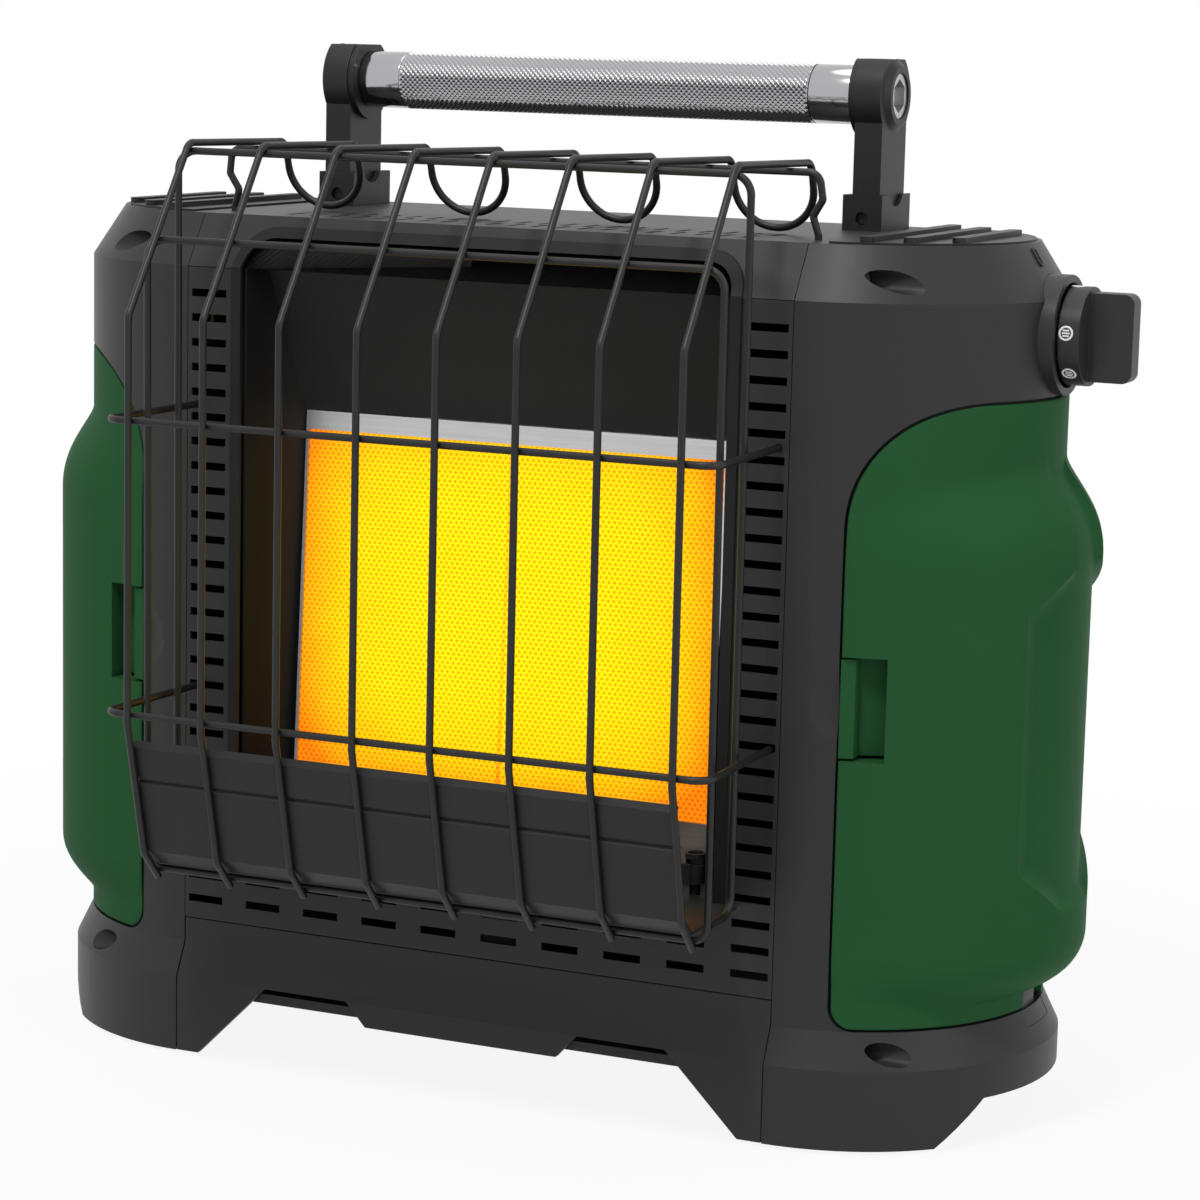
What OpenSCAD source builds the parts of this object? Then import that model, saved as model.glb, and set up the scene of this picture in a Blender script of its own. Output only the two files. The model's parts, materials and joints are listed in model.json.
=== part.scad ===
// Portable propane heater with two cylinder bays, a tilted twin-tile burner and a wire guard.
// X runs to the right, Y to the back and Z up. All sizes are in millimetres.
// The modules work from the front panel's plane (y = 0); part() moves them to the object's origin.

/* [Body] */
// Distance from the middle to the seam of an end housing
seam_x = 132; // [128:1:140]
// Outer radius of the rounded end housings, which is half the body's depth
end_r = 81; // [79:1:90]
// Height of the top deck
deck_z = 350; // [348:1:360]
// Height of the sloping shoulder under the deck
shoulder_drop = 21; // [15:1:23]
// How far the shoulder leans in
shoulder_in = 13.5; // [9:0.5:15]
// Wall of the moulded housings, base and doors
plastic_wall = 3; // [2.4:0.1:3.4]
// Thickness of the sheet metal
sheet = 1.2; // [0.8:0.1:1.6]
// Gap along a seam between two covers
seam_gap = 0.3; // [0.2:0.05:0.5]

/* [Base] */
// Top of the flare above the feet
flare_top = 47; // [45:1:50]
// Bottom edge of the flare
flare_bottom = 33; // [31:1:36]
// How far the base stands out from the body
base_flare = 6.8; // [5:0.2:8]
// Height of the seam between the base and the front panel
base_seam_z = 57; // [55:1:60]
// Height of the cut between the feet at the ends
end_arch_z = 19; // [12:1:21]
// Thickness of the rubber under each foot
foot_pad_h = 1.2; // [1:0.1:2]
// Distance from the middle to a front foot's inner edge
foot_inner_x = 121.5; // [116:0.5:124]
// Half width of the name-plate tab in the middle of the skirt, at its lower edge
tab_half_w = 43; // [30:1:50]
// Lower edge of the tab
tab_z = 23; // [20:1:26]

/* [Front panel] */
// Distance between the centres of two slot rows
slot_pitch = 10.1; // [9.5:0.1:10.4]
// Height of one slot
slot_h = 3.2; // [3:0.2:5.4]
// Length of one slot
slot_len = 16; // [12:0.5:17]
// Distance from the middle to the centre of a slot column
slot_x = 122; // [121.5:0.25:123]
// Height of the lowest slot row's centre
slot_low_z = 65.8; // [65:0.2:68]
// Rows of slots that run across the whole panel
slot_full_rows = 2; // [1:1:2]
// Rows of slots beside the recess
slot_side_rows = 24; // [16:1:24]
// Half width of the burner recess
recess_half_w = 107; // [104:0.5:107.5]
// Bottom of the burner recess
recess_z0 = 92; // [90:1:96]
// Height of the recess where it cuts the shoulder
recess_z1 = 342; // [339:0.5:343]
// Radius of the recess's top corners
recess_corner_r = 13; // [8:1:16]
// Width of the trim round the recess
trim_w = 4; // [3:0.2:4.6]
// How far the trim stands out
trim_h = 1.6; // [1:0.1:2]

/* [Burner] */
// Half width of the glowing face
burner_half_w = 92.5; // [88:0.5:93]
// Height of a ceramic tile along its face
tile_h = 144; // [130:1:146]
// Thickness of a ceramic tile
tile_t = 13; // [10:0.5:15]
// Lean of the burner, backwards at the top
burner_tilt = 3.2; // [1:0.1:4]
// Depth of the burner's lower edge behind the front panel
burner_y = 24; // [22:0.5:28]
// Height of the burner's lower edge
burner_z = 118; // [116:1:122]
// Height of the bright strip over the tiles
strip_h = 8; // [6:0.5:9]
// Depth of the mixing box behind the tiles
plenum_d = 26; // [20:1:30]
// Radius of the mixing tube
venturi_r = 9; // [7:0.5:10]

/* [Guard] */
// Diameter of the guard's wire
wire_d = 2.9; // [2.4:0.1:3]
// Distance between two front wires
wire_pitch = 33.4; // [31:0.2:33.6]
// How far the front wires stand in front of the panel
guard_y = 70; // [66:1:76]
// Height of the guard's flat top
guard_top_z = 379.6; // [377:0.2:383]
// Height where the wires start to slope back at the top
guard_knee_z = 314; // [308:1:318]
// Height where the wires start to slope back at the bottom
guard_low_z = 153; // [148:1:153]
// Height of the upper rail
upper_rail_z = 272.8; // [262:0.2:280]
// Height of the lower rail
lower_rail_z = 156; // [155:0.2:170]

/* [Doors] */
// Distance from the middle to a door's front edge
door_x = 153.8; // [152.5:0.1:155]
// Top of the doors
door_z1 = 291.7; // [286:0.1:292]
// Radius of a door's top corner
door_corner_r = 48; // [36:1:50]
// Gap round a door
door_gap = 0.6; // [0.4:0.1:1]
// Distance from the middle to the axis of the door's bulge
bulge_x = 156; // [154:0.5:158]
// Radius of the bulge that makes room for a cylinder
bulge_r = 74; // [71:0.5:76]
// Depth of the sunk panel in the bulge
panel_sink = 4; // [2:0.5:4.5]
// Radius of a door's hinge pin
hinge_pin_r = 1.5; // [1.2:0.1:1.8]
// How far a door swings open, in degrees
door_swing = 105; // [60:5:110]

/* [Handle] */
// Diameter of the grip
grip_d = 24; // [20:1:26]
// Height of the grip's axis
grip_z = 403.8; // [396:0.2:410]
// Depth of the grip's axis behind the front panel
handle_y = 119.8; // [116:0.2:121]
// Distance from the middle to an arm's inner face
arm_x = 114.8; // [112:0.2:116]
// Width of an arm
arm_w = 11.8; // [9:0.2:12]
// Depth of an arm
arm_d = 29; // [26:1:30]
// Radius of the pins that the arms turn on
pivot_r = 2; // [1.5:0.1:2.4]

/* [Control knob] */
// Height of the knob's axis
knob_z = 315; // [314:0.5:318]
// Radius of the collar round the knob
collar_r = 23.5; // [22:0.5:24]
// Radius of the knob's disc
knob_r = 19.3; // [17:0.1:19.8]
// How far the knob stands out from the middle of the body
knob_end_x = 242; // [238:0.5:248]
// Height of the grip blade
blade_h = 34.5; // [30:0.5:36]
// Thickness of the grip blade
blade_t = 10; // [8:0.5:14]
// How far the knob pushes in
knob_travel = 3; // [1.5:0.5:3]

/* [Gas] */
// Distance from the middle to the axis of a cylinder
cylinder_x = 168; // [167:0.5:170]
// Height of the cylinder socket's mouth
socket_z = 258; // [256:1:262]
// Radius of the socket's thread
socket_r = 12.7; // [12.7:0.1:13]
// Depth of the socket's thread
socket_depth = 14; // [10:1:15]
// Radius of the supply pipe
pipe_r = 3.2; // [2.5:0.1:4]

/* [Hidden] */

$fn = 48;
charcoal = [0.2, 0.2, 0.2];
coal = [0.13, 0.13, 0.13];
green = [0.15, 0.32, 0.19];
steel = [0.72, 0.72, 0.72];
chrome = [0.82, 0.82, 0.84];
brass = [0.72, 0.58, 0.3];
glow = [1, 0.72, 0.1];
rubber = [0.08, 0.08, 0.08];

body_d = 2 * end_r;
mid_y = end_r;
shoulder_z = deck_z - shoulder_drop;
deck_front_y = shoulder_in;
foot_z = foot_pad_h;
floor_z = flare_top;
far = 400;

// The wire guard.
wire_r = wire_d / 2;
weld = 0.1;
guard_x = 3.5 * wire_pitch;
low_knee = [-guard_y + 13, guard_low_z - 55];
wire_end = [low_knee[0] + 11, low_knee[1] - 12];
top_front_y = -25;
top_rear_y = 52.6;
top_rear_z = guard_top_z - 1.1;
loop_y = top_rear_y + 8.3;
loop_z = top_rear_z - 26.2;
frame_x = guard_x + 5.6;
rail_y = -guard_y + wire_d + weld;
wire_bend = 6;

// The door and what it hangs on.
door_z0 = flare_top;
door_low_r = 9.5;
hinge_x = door_x - 3.3;
hinge_y = body_d - 1.5;
knuckle_r = 4;
knuckle_gap = 0.5;
hinge_low_z = [72, 205];
knuckle_h = 8;
door_knuckle_h = 14;
hinge_h = 2 * knuckle_h + door_knuckle_h;
run_fit = 0.05;
bulge_high_z = 228;
bulge_high_r = 40;
bulge_low_z = 76;
bulge_low_r = 20;
panel_y = [42, 17];
panel_z = [[109, 211], [90, 227]];
latch_z = [154.4, 194];
latch_w = 5.6;
pocket_w = 17.8;
pocket_sink = 5.5;
notch_half_w = 12.5;
notch_z = 55;

// The handle and its brackets.
bracket_wall = 3.2;
bracket_x = arm_x - bracket_wall;
bracket_w = 16.8;
bracket_d = 33.7;
bracket_h = 14.3;
bracket_y = handle_y - 16.5;
pivot_z = deck_z + 5;
arm_heel = pivot_z - deck_z - 0.8;
pivot_y = handle_y + arm_d / 2 - arm_heel;
arm_y = handle_y - arm_d / 2;
head_r = 18;
head_top = 14.7;
arm_gap = 0.3;

// The knob, its collar and the valve behind them.
collar_x0 = seam_x + end_r - 9.5;
collar_x1 = seam_x + end_r + 2.8;
collar_floor = 3;
disc_x = collar_x1 + 0.4;
disc_w = 8.5;
stem_r = 4;
stem_end = disc_x + 5;
valve_x = [collar_x0 - 33.5, collar_x0 - 5.5];
valve_half = 16;
socket_boss_r = 17;
regulator_r = 24;
regulator_z = socket_z + 16;
regulator_h = 20;
supply_z = knob_z + 10;
pilot = [95, 8, recess_z0 + 6];
bell_r = venturi_r + 0.8;
venturi_z = burner_z - 14;
venturi_y = burner_y + tile_t + 1 + plenum_d / 2;
orifice_x = 100;
bay_wall_x = recess_half_w + 5.5;
burner_pipe_x = 104;
pilot_pipe_x = recess_half_w + 2.6;
pilot_pipe_r = 1.6;
pilot_low_z = recess_z0 - 8;

// The origin is under the middle of the object's box.
left_reach = bulge_x + bulge_r;
front_reach = guard_y + wire_r;
rear_reach = body_d + base_flare;
centre_x = (knob_end_x - left_reach) / 2;
centre_y = (rear_reach - front_reach) / 2;

module part(tint)
    color(tint) translate([-centre_x, -centre_y, 0]) children();

module left_hand() mirror([1, 0, 0]) children();

module both_hands() {
    children();
    left_hand() children();
}

// Draws a (y, z) outline from x0 to x1.
module along_x(x0, x1)
    translate([x0, 0, 0]) rotate([90, 0, 90]) linear_extrude(x1 - x0) children();

// Draws an (x, z) outline from y0 to y1.
module along_y(y0, y1)
    translate([0, y1, 0]) rotate([90, 0, 0]) linear_extrude(y1 - y0) children();

// A rod along X, from x0 to x1.
module rod_x(x0, x1, r) translate([x0, 0, 0]) rotate([0, 90, 0]) cylinder(h = x1 - x0, r = r);

module block(low, high) translate(low) cube(high - low);

// The half turn of an (r, z) outline that makes a rounded end.
module round_end() translate([seam_x, mid_y, 0]) rotate_extrude(angle = 180, start = -90, $fn = 96) children();

// Two walls make the front and the back from one description.
module front_and_back() {
    children();
    translate([0, body_d, 0]) mirror([0, 1, 0]) children();
}

// ---- wire paths ----
function unit(v) = v / norm(v);
function turn(p, i) = acos(unit(p[i] - p[i - 1]) * unit(p[i + 1] - p[i]));
function cut(p, i, bend) = i == 0 || i == len(p) - 1 ? 0 : bend[i] * tan(turn(p, i) / 2);

module rod(a, b, r) {
    d = b - a;
    translate(a) rotate([0, acos(d[2] / norm(d)), atan2(d[1], d[0])]) cylinder(h = norm(d), r = r, $fn = 24);
}

// A bent wire: straight runs whose ends reach into true bends that are a hair wider than the wire.
bend_over = 0.06;
run_into = 0.2;

module bent_rod(p, r, bend) {
    last = len(p) - 2;
    for (i = [0 : last]) {
        u = unit(p[i + 1] - p[i]);
        a = p[i] + u * (cut(p, i, bend) - (i == 0 || bend[i] == 0 ? 0 : run_into));
        b = p[i + 1] - u * (cut(p, i + 1, bend) - (i == last || bend[i + 1] == 0 ? 0 : run_into));
        rod(a, b, r);
    }
    for (i = [1 : last]) {
        u = unit(p[i] - p[i - 1]);
        v = unit(p[i + 1] - p[i]);
        if (bend[i] == 0) translate(p[i]) sphere(r + bend_over, $fn = 24);
        else {
            c = p[i] + unit(v - u) * bend[i] / cos(turn(p, i) / 2);
            e = unit(p[i] - u * cut(p, i, bend) - c);
            w = cross(e, u);
            multmatrix([[e[0], u[0], w[0], c[0]], [e[1], u[1], w[1], c[1]], [e[2], u[2], w[2], c[2]], [0, 0, 0, 1]])
                rotate_extrude(angle = turn(p, i), $fn = 24) translate([bend[i], 0]) circle(r + bend_over);
        }
    }
}

function same_bend(p, bend) = [for (i = p) bend];

// ---- covers between the two end housings ----
module slot_shape(length) {
    translate([-(length - slot_h) / 2 - slot_h / 2, -slot_h / 2]) square([length, slot_h]);
}

module slot_field() {
    cover_x = seam_x - seam_gap;
    across = 2 * slot_x / 9;
    for (row = [0 : slot_full_rows - 1])
        for (i = [0 : 9])
            translate([-slot_x + i * across, slot_low_z + row * slot_pitch]) slot_shape(slot_len);
    for (row = [0 : slot_side_rows - 1])
        for (side = [-1, 1])
            translate([side * slot_x, slot_low_z + (slot_full_rows + row) * slot_pitch]) slot_shape(slot_len);
}

// The recess seen from the front, grown by some margin.
module recess_outline(grow) {
    r = recess_corner_r + grow;
    w = recess_half_w + grow;
    z1 = recess_z1 + grow;
    translate([-w, recess_z0]) square([2 * w, z1 - r - recess_z0]);
    translate([-w + r, recess_z0]) square([2 * (w - r), z1 - recess_z0]);
    for (side = [-1, 1]) translate([side * (w - r), z1 - r]) circle(r);
}

module front_panel() part(charcoal) {
    x = seam_x - seam_gap;
    difference() {
        block([-x, 0, base_seam_z + seam_gap], [x, sheet, shoulder_z - seam_gap]);
        along_y(-1, sheet + 1) {
            slot_field();
            recess_outline(0.2);
        }
        for (z = [upper_rail_z, lower_rail_z])
            for (side = [-1, 1])
                translate([side * (slot_x + 5.3), -1, z]) rotate([-90, 0, 0]) cylinder(h = sheet + 2, r = wire_r + 0.2);
    }
}

module deck_slots() {
    count = 21;
    step = 10;
    for (i = [0 : count - 1])
        for (row = [0, 1])
            translate([(i - (count - 1) / 2) * step - 1.1 + row * step / 2, deck_front_y + 12 + row * 17, deck_z - 5])
                cube([2.2, 15, 10]);
}

module top_cover() part(charcoal) {
    x = seam_x - seam_gap;
    t = sheet;
    difference() {
        along_x(-x, x) polygon([
            [0, shoulder_z], [shoulder_in, deck_z], [body_d - shoulder_in, deck_z], [body_d, shoulder_z],
            [body_d - t, shoulder_z], [body_d - shoulder_in - t * 0.6, deck_z - t],
            [shoulder_in + t * 0.6, deck_z - t], [t, shoulder_z]]);
        along_y(-1, deck_front_y + 5) recess_outline(0.2);
        deck_slots();
    }
}

module rear_cover() part(charcoal) {
    x = seam_x - seam_gap;
    difference() {
        block([-x, body_d - sheet, base_seam_z + seam_gap], [x, body_d, shoulder_z - seam_gap]);
        for (row = [0 : 11])
            for (i = [-4 : 4])
                translate([i * 24 - 9, body_d - sheet - 1, 180 + row * slot_pitch]) cube([18, sheet + 2, slot_h]);
    }
}

// Outline of the skirt, with feet at its ends and the tab in the middle.
module skirt_opening() {
    slope = flare_bottom - foot_z;
    polygon([
        [-foot_inner_x, -1], [-foot_inner_x, foot_z], [-foot_inner_x + slope, flare_bottom],
        [-tab_half_w - 9, flare_bottom], [-tab_half_w, tab_z], [tab_half_w, tab_z],
        [tab_half_w + 9, flare_bottom], [foot_inner_x - slope, flare_bottom],
        [foot_inner_x, foot_z], [foot_inner_x, -1]]);
}

module base_skirt() part(charcoal) {
    x = seam_x - seam_gap;
    w = plastic_wall;
    difference() {
        along_x(-x, x) polygon([
            [-base_flare, foot_z], [-base_flare, flare_bottom], [0, flare_top], [0, base_seam_z],
            [body_d, base_seam_z], [body_d, flare_top], [body_d + base_flare, flare_bottom],
            [body_d + base_flare, foot_z]]);
        along_x(-x - 1, x + 1) polygon([
            [w - base_flare, 0], [w - base_flare, flare_bottom - 1.4], [w, flare_top - 1.4],
            [w, base_seam_z + 1], [body_d - w, base_seam_z + 1], [body_d - w, flare_top - 1.4],
            [body_d + base_flare - w, flare_bottom - 1.4], [body_d + base_flare - w, 0]]);
        along_y(-base_flare - 1, body_d + base_flare + 1) skirt_opening();
    }
}

// A flanged pan that closes the underside and shows as a second edge behind the skirt.
module base_pan() part(coal) {
    inset = plastic_wall - base_flare + 0.2;
    x = seam_x - seam_gap - 1;
    pan_z = flare_bottom - 3;
    flange_z = tab_z + 3;
    difference() {
        block([-x, inset, flange_z], [x, body_d - inset, pan_z]);
        block([-x + sheet, inset + sheet, flange_z - 1], [x - sheet, body_d - inset - sheet, pan_z - sheet]);
        for (i = [-3 : 3]) translate([i * 28, mid_y, 0]) cylinder(h = pan_z + 1, r = 6);
    }
}

// ---- rounded end housings ----
module end_outline(inset) {
    r = end_r - inset;
    b = inset > 0 ? foot_z - 5 : foot_z;
    polygon([
        [0, b], [r + base_flare, b], [r + base_flare, flare_bottom - inset * 0.45],
        [r, flare_top - inset * 0.45], [r, shoulder_z - inset * 0.3],
        [r - shoulder_in + inset * 0.2, deck_z - inset], [0, deck_z - inset]]);
}

// A door's outline seen from the front, grown by some margin.
module door_outline(grow) {
    x = door_x - grow;
    z0 = door_z0 - grow;
    z1 = door_z1 + grow;
    r0 = door_low_r + grow;
    r1 = door_corner_r + grow;
    translate([x, z0 + r0]) square([far, z1 - z0 - r0 - r1]);
    translate([x + r0, z0]) square([far, r0]);
    translate([x + r1, z1 - r1]) square([far, r1]);
    translate([x + r0, z0 + r0]) circle(r0);
    translate([x + r1, z1 - r1]) circle(r1);
}

// Places a child at each of the four screws of an end housing.
module at_housing_screws() {
    front_and_back() {
        translate([0, 14.2, shoulder_z + 7.7]) children();
        translate([0, 9.6, flare_top - 8]) children();
    }
}

lip_gap = 0.4;
lip_t = 2.6;
lip_w = 5;
notch_low_z = 40.6;
finger_depth = 1.9;
finger_half = 13.5;
finger_ball = (finger_half * finger_half + finger_depth * finger_depth) / (2 * finger_depth);
finger_turn = asin((door_x - 0.8 - seam_x) / end_r);
scoop_r = 4.5;
scoop_floor = 21;
screw_r = 1.6;

module end_housing_body() {
    w = plastic_wall;
    difference() {
        union() {
            difference() {
                round_end() end_outline(0);
                round_end() end_outline(w);
            }
            round_end() translate([0, floor_z - w]) square([end_r - 1, w]);
            round_end() translate([0, foot_z]) square([end_r + base_flare - 1, w]);
            intersection() {
                round_end() end_outline(0);
                at_housing_screws() rod_x(seam_x, seam_x + far, scoop_r + 2);
            }
            block([seam_x + end_r - 11, mid_y - notch_half_w - 2, notch_low_z - 2],
                  [seam_x + end_r - 7.5, mid_y + notch_half_w + 2, floor_z]);
            door_rebate();
            housing_knuckles();
        }
        difference() {
            along_y(-far, far) door_outline(0);
            end_core(end_r - plastic_wall - lip_gap + 0.01);
        }
        along_y(-far, far) door_outline(-lip_w);
        end_arch();
        at_housing_screws() {
            rod_x(seam_x + scoop_floor, seam_x + far, scoop_r);
            rod_x(seam_x - 1, seam_x + far, screw_r + run_fit);
        }
        translate([0, hinge_y, 0]) hinge_clearance();
        translate([seam_x, mid_y, (latch_z[0] + latch_z[1]) / 2]) rotate([0, 0, finger_turn])
            translate([0, finger_depth - end_r - finger_ball, 0]) sphere(finger_ball, $fn = 96);
        block([seam_x + end_r - 7, mid_y - notch_half_w, notch_low_z], [far, mid_y + notch_half_w, flare_top + 1]);
    }
}

// The gap under an end, between its two feet.
module end_arch() {
    half = end_r - 19;
    along_x(seam_x - 1, seam_x + far) polygon([
        [mid_y - half, -1], [mid_y - half, foot_z], [mid_y - half + end_arch_z - foot_z, end_arch_z],
        [mid_y + half - end_arch_z + foot_z, end_arch_z], [mid_y + half, foot_z], [mid_y + half, -1]]);
}

// A lip behind the door's edge.
module door_rebate() {
    lip_r = end_r - plastic_wall - lip_gap;
    z0 = flare_top - 2;
    h = door_z1 - flare_top + 10;
    difference() {
        union() {
            intersection() {
                round_end() translate([lip_r - lip_t, z0]) square([lip_t, h]);
                along_y(-far, far) difference() {
                    door_outline(6);
                    door_outline(-lip_w);
                }
            }
            intersection() {
                round_end() translate([lip_r - 1, z0]) square([2 + lip_gap, h]);
                along_y(-far, far) difference() {
                    door_outline(6);
                    door_outline(0);
                }
            }
        }
        block([door_x - 0.5, -10, latch_z[0] - 4], [far, mid_y, latch_z[1] + 4]);
    }
}

module housing_knuckles() {
    for (z = hinge_low_z)
        for (dz = [0, hinge_h - knuckle_h])
            translate([hinge_x, hinge_y, z + dz]) cylinder(h = knuckle_h, r = knuckle_r);
}

// Room in the housing for the door's knuckles, and the pins' holes.
module hinge_clearance() {
    for (z = hinge_low_z) {
        translate([hinge_x, 0, z + knuckle_h - knuckle_gap / 2])
            cylinder(h = door_knuckle_h + knuckle_gap, r = knuckle_r + 0.6);
        translate([hinge_x, -4, z + knuckle_h - knuckle_gap / 2])
            cube([far, 12, door_knuckle_h + knuckle_gap]);
        translate([hinge_x, 0, z - 1]) cylinder(h = hinge_h + 2, r = hinge_pin_r);
    }
}

module left_end_housing() part(charcoal) left_hand() end_housing_body();

module right_end_housing() part(charcoal) difference() {
    end_housing_body();
    translate([0, mid_y, knob_z]) rod_x(collar_x0, seam_x + far, collar_r + 0.1);
}

// A ribbed tray pad on top of an end housing.
module top_pad() {
    r = end_r - shoulder_in - 2;
    plate = 0.9;
    rib_h = 3;
    rib_w = 5.6;
    intersection() {
        translate([seam_x, mid_y, deck_z]) cylinder(h = plate, r = r, $fn = 96);
        block([seam_x + 7, 0, deck_z], [seam_x + far, body_d - shoulder_in - 12, deck_z + plate]);
    }
    for (i = [0 : 2]) {
        x = 20 + 15 * i;
        reach = sqrt(r * r - x * x) - rib_w / 2 - 1;
        back = min(reach, 44 - 7 * i);
        translate([seam_x + x, mid_y, deck_z]) {
            block([-rib_w / 2, -reach, 0], [rib_w / 2, back, rib_h]);
            for (y = [-reach, back]) translate([0, y, 0]) cylinder(h = rib_h, r = rib_w / 2);
        }
    }
}

module left_top_pad() part(coal) left_hand() top_pad();
module right_top_pad() part(coal) top_pad();

module rubber_feet() part(rubber)
    both_hands() front_and_back()
        intersection() {
            translate([seam_x, mid_y, 0]) cylinder(h = foot_pad_h, r = end_r + base_flare - 4, $fn = 96);
            block([seam_x + 4, -base_flare, 0], [seam_x + far, 14, foot_pad_h]);
        }

module housing_screws() part(steel)
    both_hands() at_housing_screws() {
        rod_x(seam_x - 6, seam_x + scoop_floor, screw_r);
        difference() {
            rod_x(seam_x + scoop_floor, seam_x + scoop_floor + 2.4, 3.4);
            translate([seam_x + scoop_floor + 1.4, -0.5, -2.4]) cube([2, 1, 4.8]);
            translate([seam_x + scoop_floor + 1.4, -2.4, -0.5]) cube([2, 4.8, 1]);
        }
    }

// ---- recess, hood and burner ----
module recess_trim() part(coal) {
    lean = norm([shoulder_in, shoulder_drop]);
    out_z = shoulder_z + trim_h * (lean - shoulder_drop) / shoulder_in;
    top = recess_z1 + trim_w + 1;
    y_at = shoulder_in * (top - shoulder_z) / shoulder_drop;
    intersection() {
        along_x(-far, far) polygon([
            [-trim_h, recess_z0], [-trim_h, out_z], [y_at - trim_h * lean / shoulder_drop, top],
            [y_at, top], [0, shoulder_z], [0, recess_z0]]);
        along_y(-10, 30) difference() {
            recess_outline(trim_w);
            recess_outline(-0.4);
        }
    }
}

hood_back = burner_y + tile_h * sin(burner_tilt) + 2;
hood_top = burner_z + tile_h + strip_h + 1;

hood_mouth_w = recess_half_w - 0.4;
hood_back_w = burner_half_w + 3.3;
hood_y = sheet + 0.2;
hood_z = recess_z1 - 1.6;
hood_top_y = shoulder_in * (hood_z - shoulder_z) / shoulder_drop + sheet * 1.6;

module hood_space() intersection() {
    along_x(-far, far) polygon([
        [hood_y, recess_z0 + sheet + 0.3], [hood_y, shoulder_z], [hood_top_y, hood_z],
        [hood_back, hood_top], [hood_back, recess_z0 + sheet + 0.3]]);
    linear_extrude(far) polygon([
        [-hood_mouth_w, hood_y], [-hood_back_w, hood_back], [hood_back_w, hood_back], [hood_mouth_w, hood_y]]);
}

module reflector_hood() part(coal) difference() {
    hood_space();
    hood_cut();
}

// The space inside the hood, open at the front, the back and the bottom.
module hood_cut() {
    w0 = hood_mouth_w - sheet;
    w1 = hood_back_w - sheet;
    slope = (w0 - w1) / (hood_back - hood_y);
    fall = (hood_z - hood_top) / (hood_back - hood_top_y);
    intersection() {
        along_x(-far, far) polygon([
            [-1, 0], [-1, hood_z - sheet + fall * (hood_top_y + 1)],
            [hood_back + 1, hood_top - sheet - fall], [hood_back + 1, 0]]);
        linear_extrude(far) polygon([
            [-w0 - slope * (hood_y + 1), -1], [-w1 + slope, hood_back + 1],
            [w1 - slope, hood_back + 1], [w0 + slope * (hood_y + 1), -1]]);
    }
}

// Stands a child on the burner's lower edge, leaning back as the burner does.
module on_burner() translate([0, burner_y, burner_z]) rotate([-burner_tilt, 0, 0]) children();

tile_gap = 0.3;
frame_edge = 1.6;

module burner_frame() part(steel) on_burner() difference() {
    x = burner_half_w + frame_edge;
    block([-x, 0, -burner_z + recess_z0 + 6], [x, tile_t, tile_h + strip_h]);
    block([-burner_half_w - tile_gap, -1, -tile_gap], [burner_half_w + tile_gap, tile_t + 1, tile_h + tile_gap]);
    block([-x + sheet, sheet, -far], [x - sheet, tile_t + 1, -sheet * 2]);
    block([-x + sheet, sheet, tile_h + sheet * 2], [x - sheet, tile_t + 1, tile_h + strip_h - sheet]);
}

module burner_tile() {
    block([tile_gap / 2, 0.4, 0], [burner_half_w, tile_t, tile_h]);
}

module left_burner_tile() part(glow) on_burner() left_hand() burner_tile();
module right_burner_tile() part(glow) on_burner() burner_tile();

module burner_plenum() part(steel) difference() {
    x = burner_half_w + frame_edge;
    on_burner() difference() {
        block([-x, tile_t + 0.05, -2], [x, tile_t + plenum_d, tile_h + 2]);
        block([-x + sheet, tile_t - 1, -2 + sheet], [x - sheet, tile_t + plenum_d - sheet, tile_h + 2 - sheet]);
    }
    translate([-40, venturi_y, venturi_z]) cylinder(h = burner_z - venturi_z + 4, r = venturi_r + 0.3);
}

// The tube that mixes gas and air, with a bell mouth and an elbow up into the mixing box.
module mixing_tube() part(steel) difference() {
    union() {
        translate([0, venturi_y, venturi_z]) rod_x(-40, orifice_x - 18, venturi_r);
        translate([orifice_x - 18, venturi_y, venturi_z]) rotate([0, 90, 0]) cylinder(h = 12, r1 = venturi_r, r2 = bell_r);
        translate([-40, venturi_y, venturi_z]) sphere(venturi_r);
        translate([-40, venturi_y, venturi_z]) cylinder(h = burner_z - venturi_z + 1, r = venturi_r);
    }
    translate([0, venturi_y, venturi_z]) rod_x(-40, orifice_x - 10, venturi_r - sheet);
    translate([orifice_x - 18, venturi_y, venturi_z]) rotate([0, 90, 0]) cylinder(h = 13, r1 = venturi_r - sheet, r2 = bell_r - 0.8);
    translate([-40, venturi_y, venturi_z]) cylinder(h = 30, r = venturi_r - sheet);
}

module orifice_holder() part(brass) translate([0, venturi_y, venturi_z]) difference() {
    union() {
        rod_x(orifice_x - 14, orifice_x - 4, 3);
        translate([orifice_x - 4, 0, 0]) rotate([0, 90, 0]) cylinder(h = 3.5, r = 6.5, $fn = 6);
    }
    rod_x(orifice_x - 15, orifice_x, 0.8);
}

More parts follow.
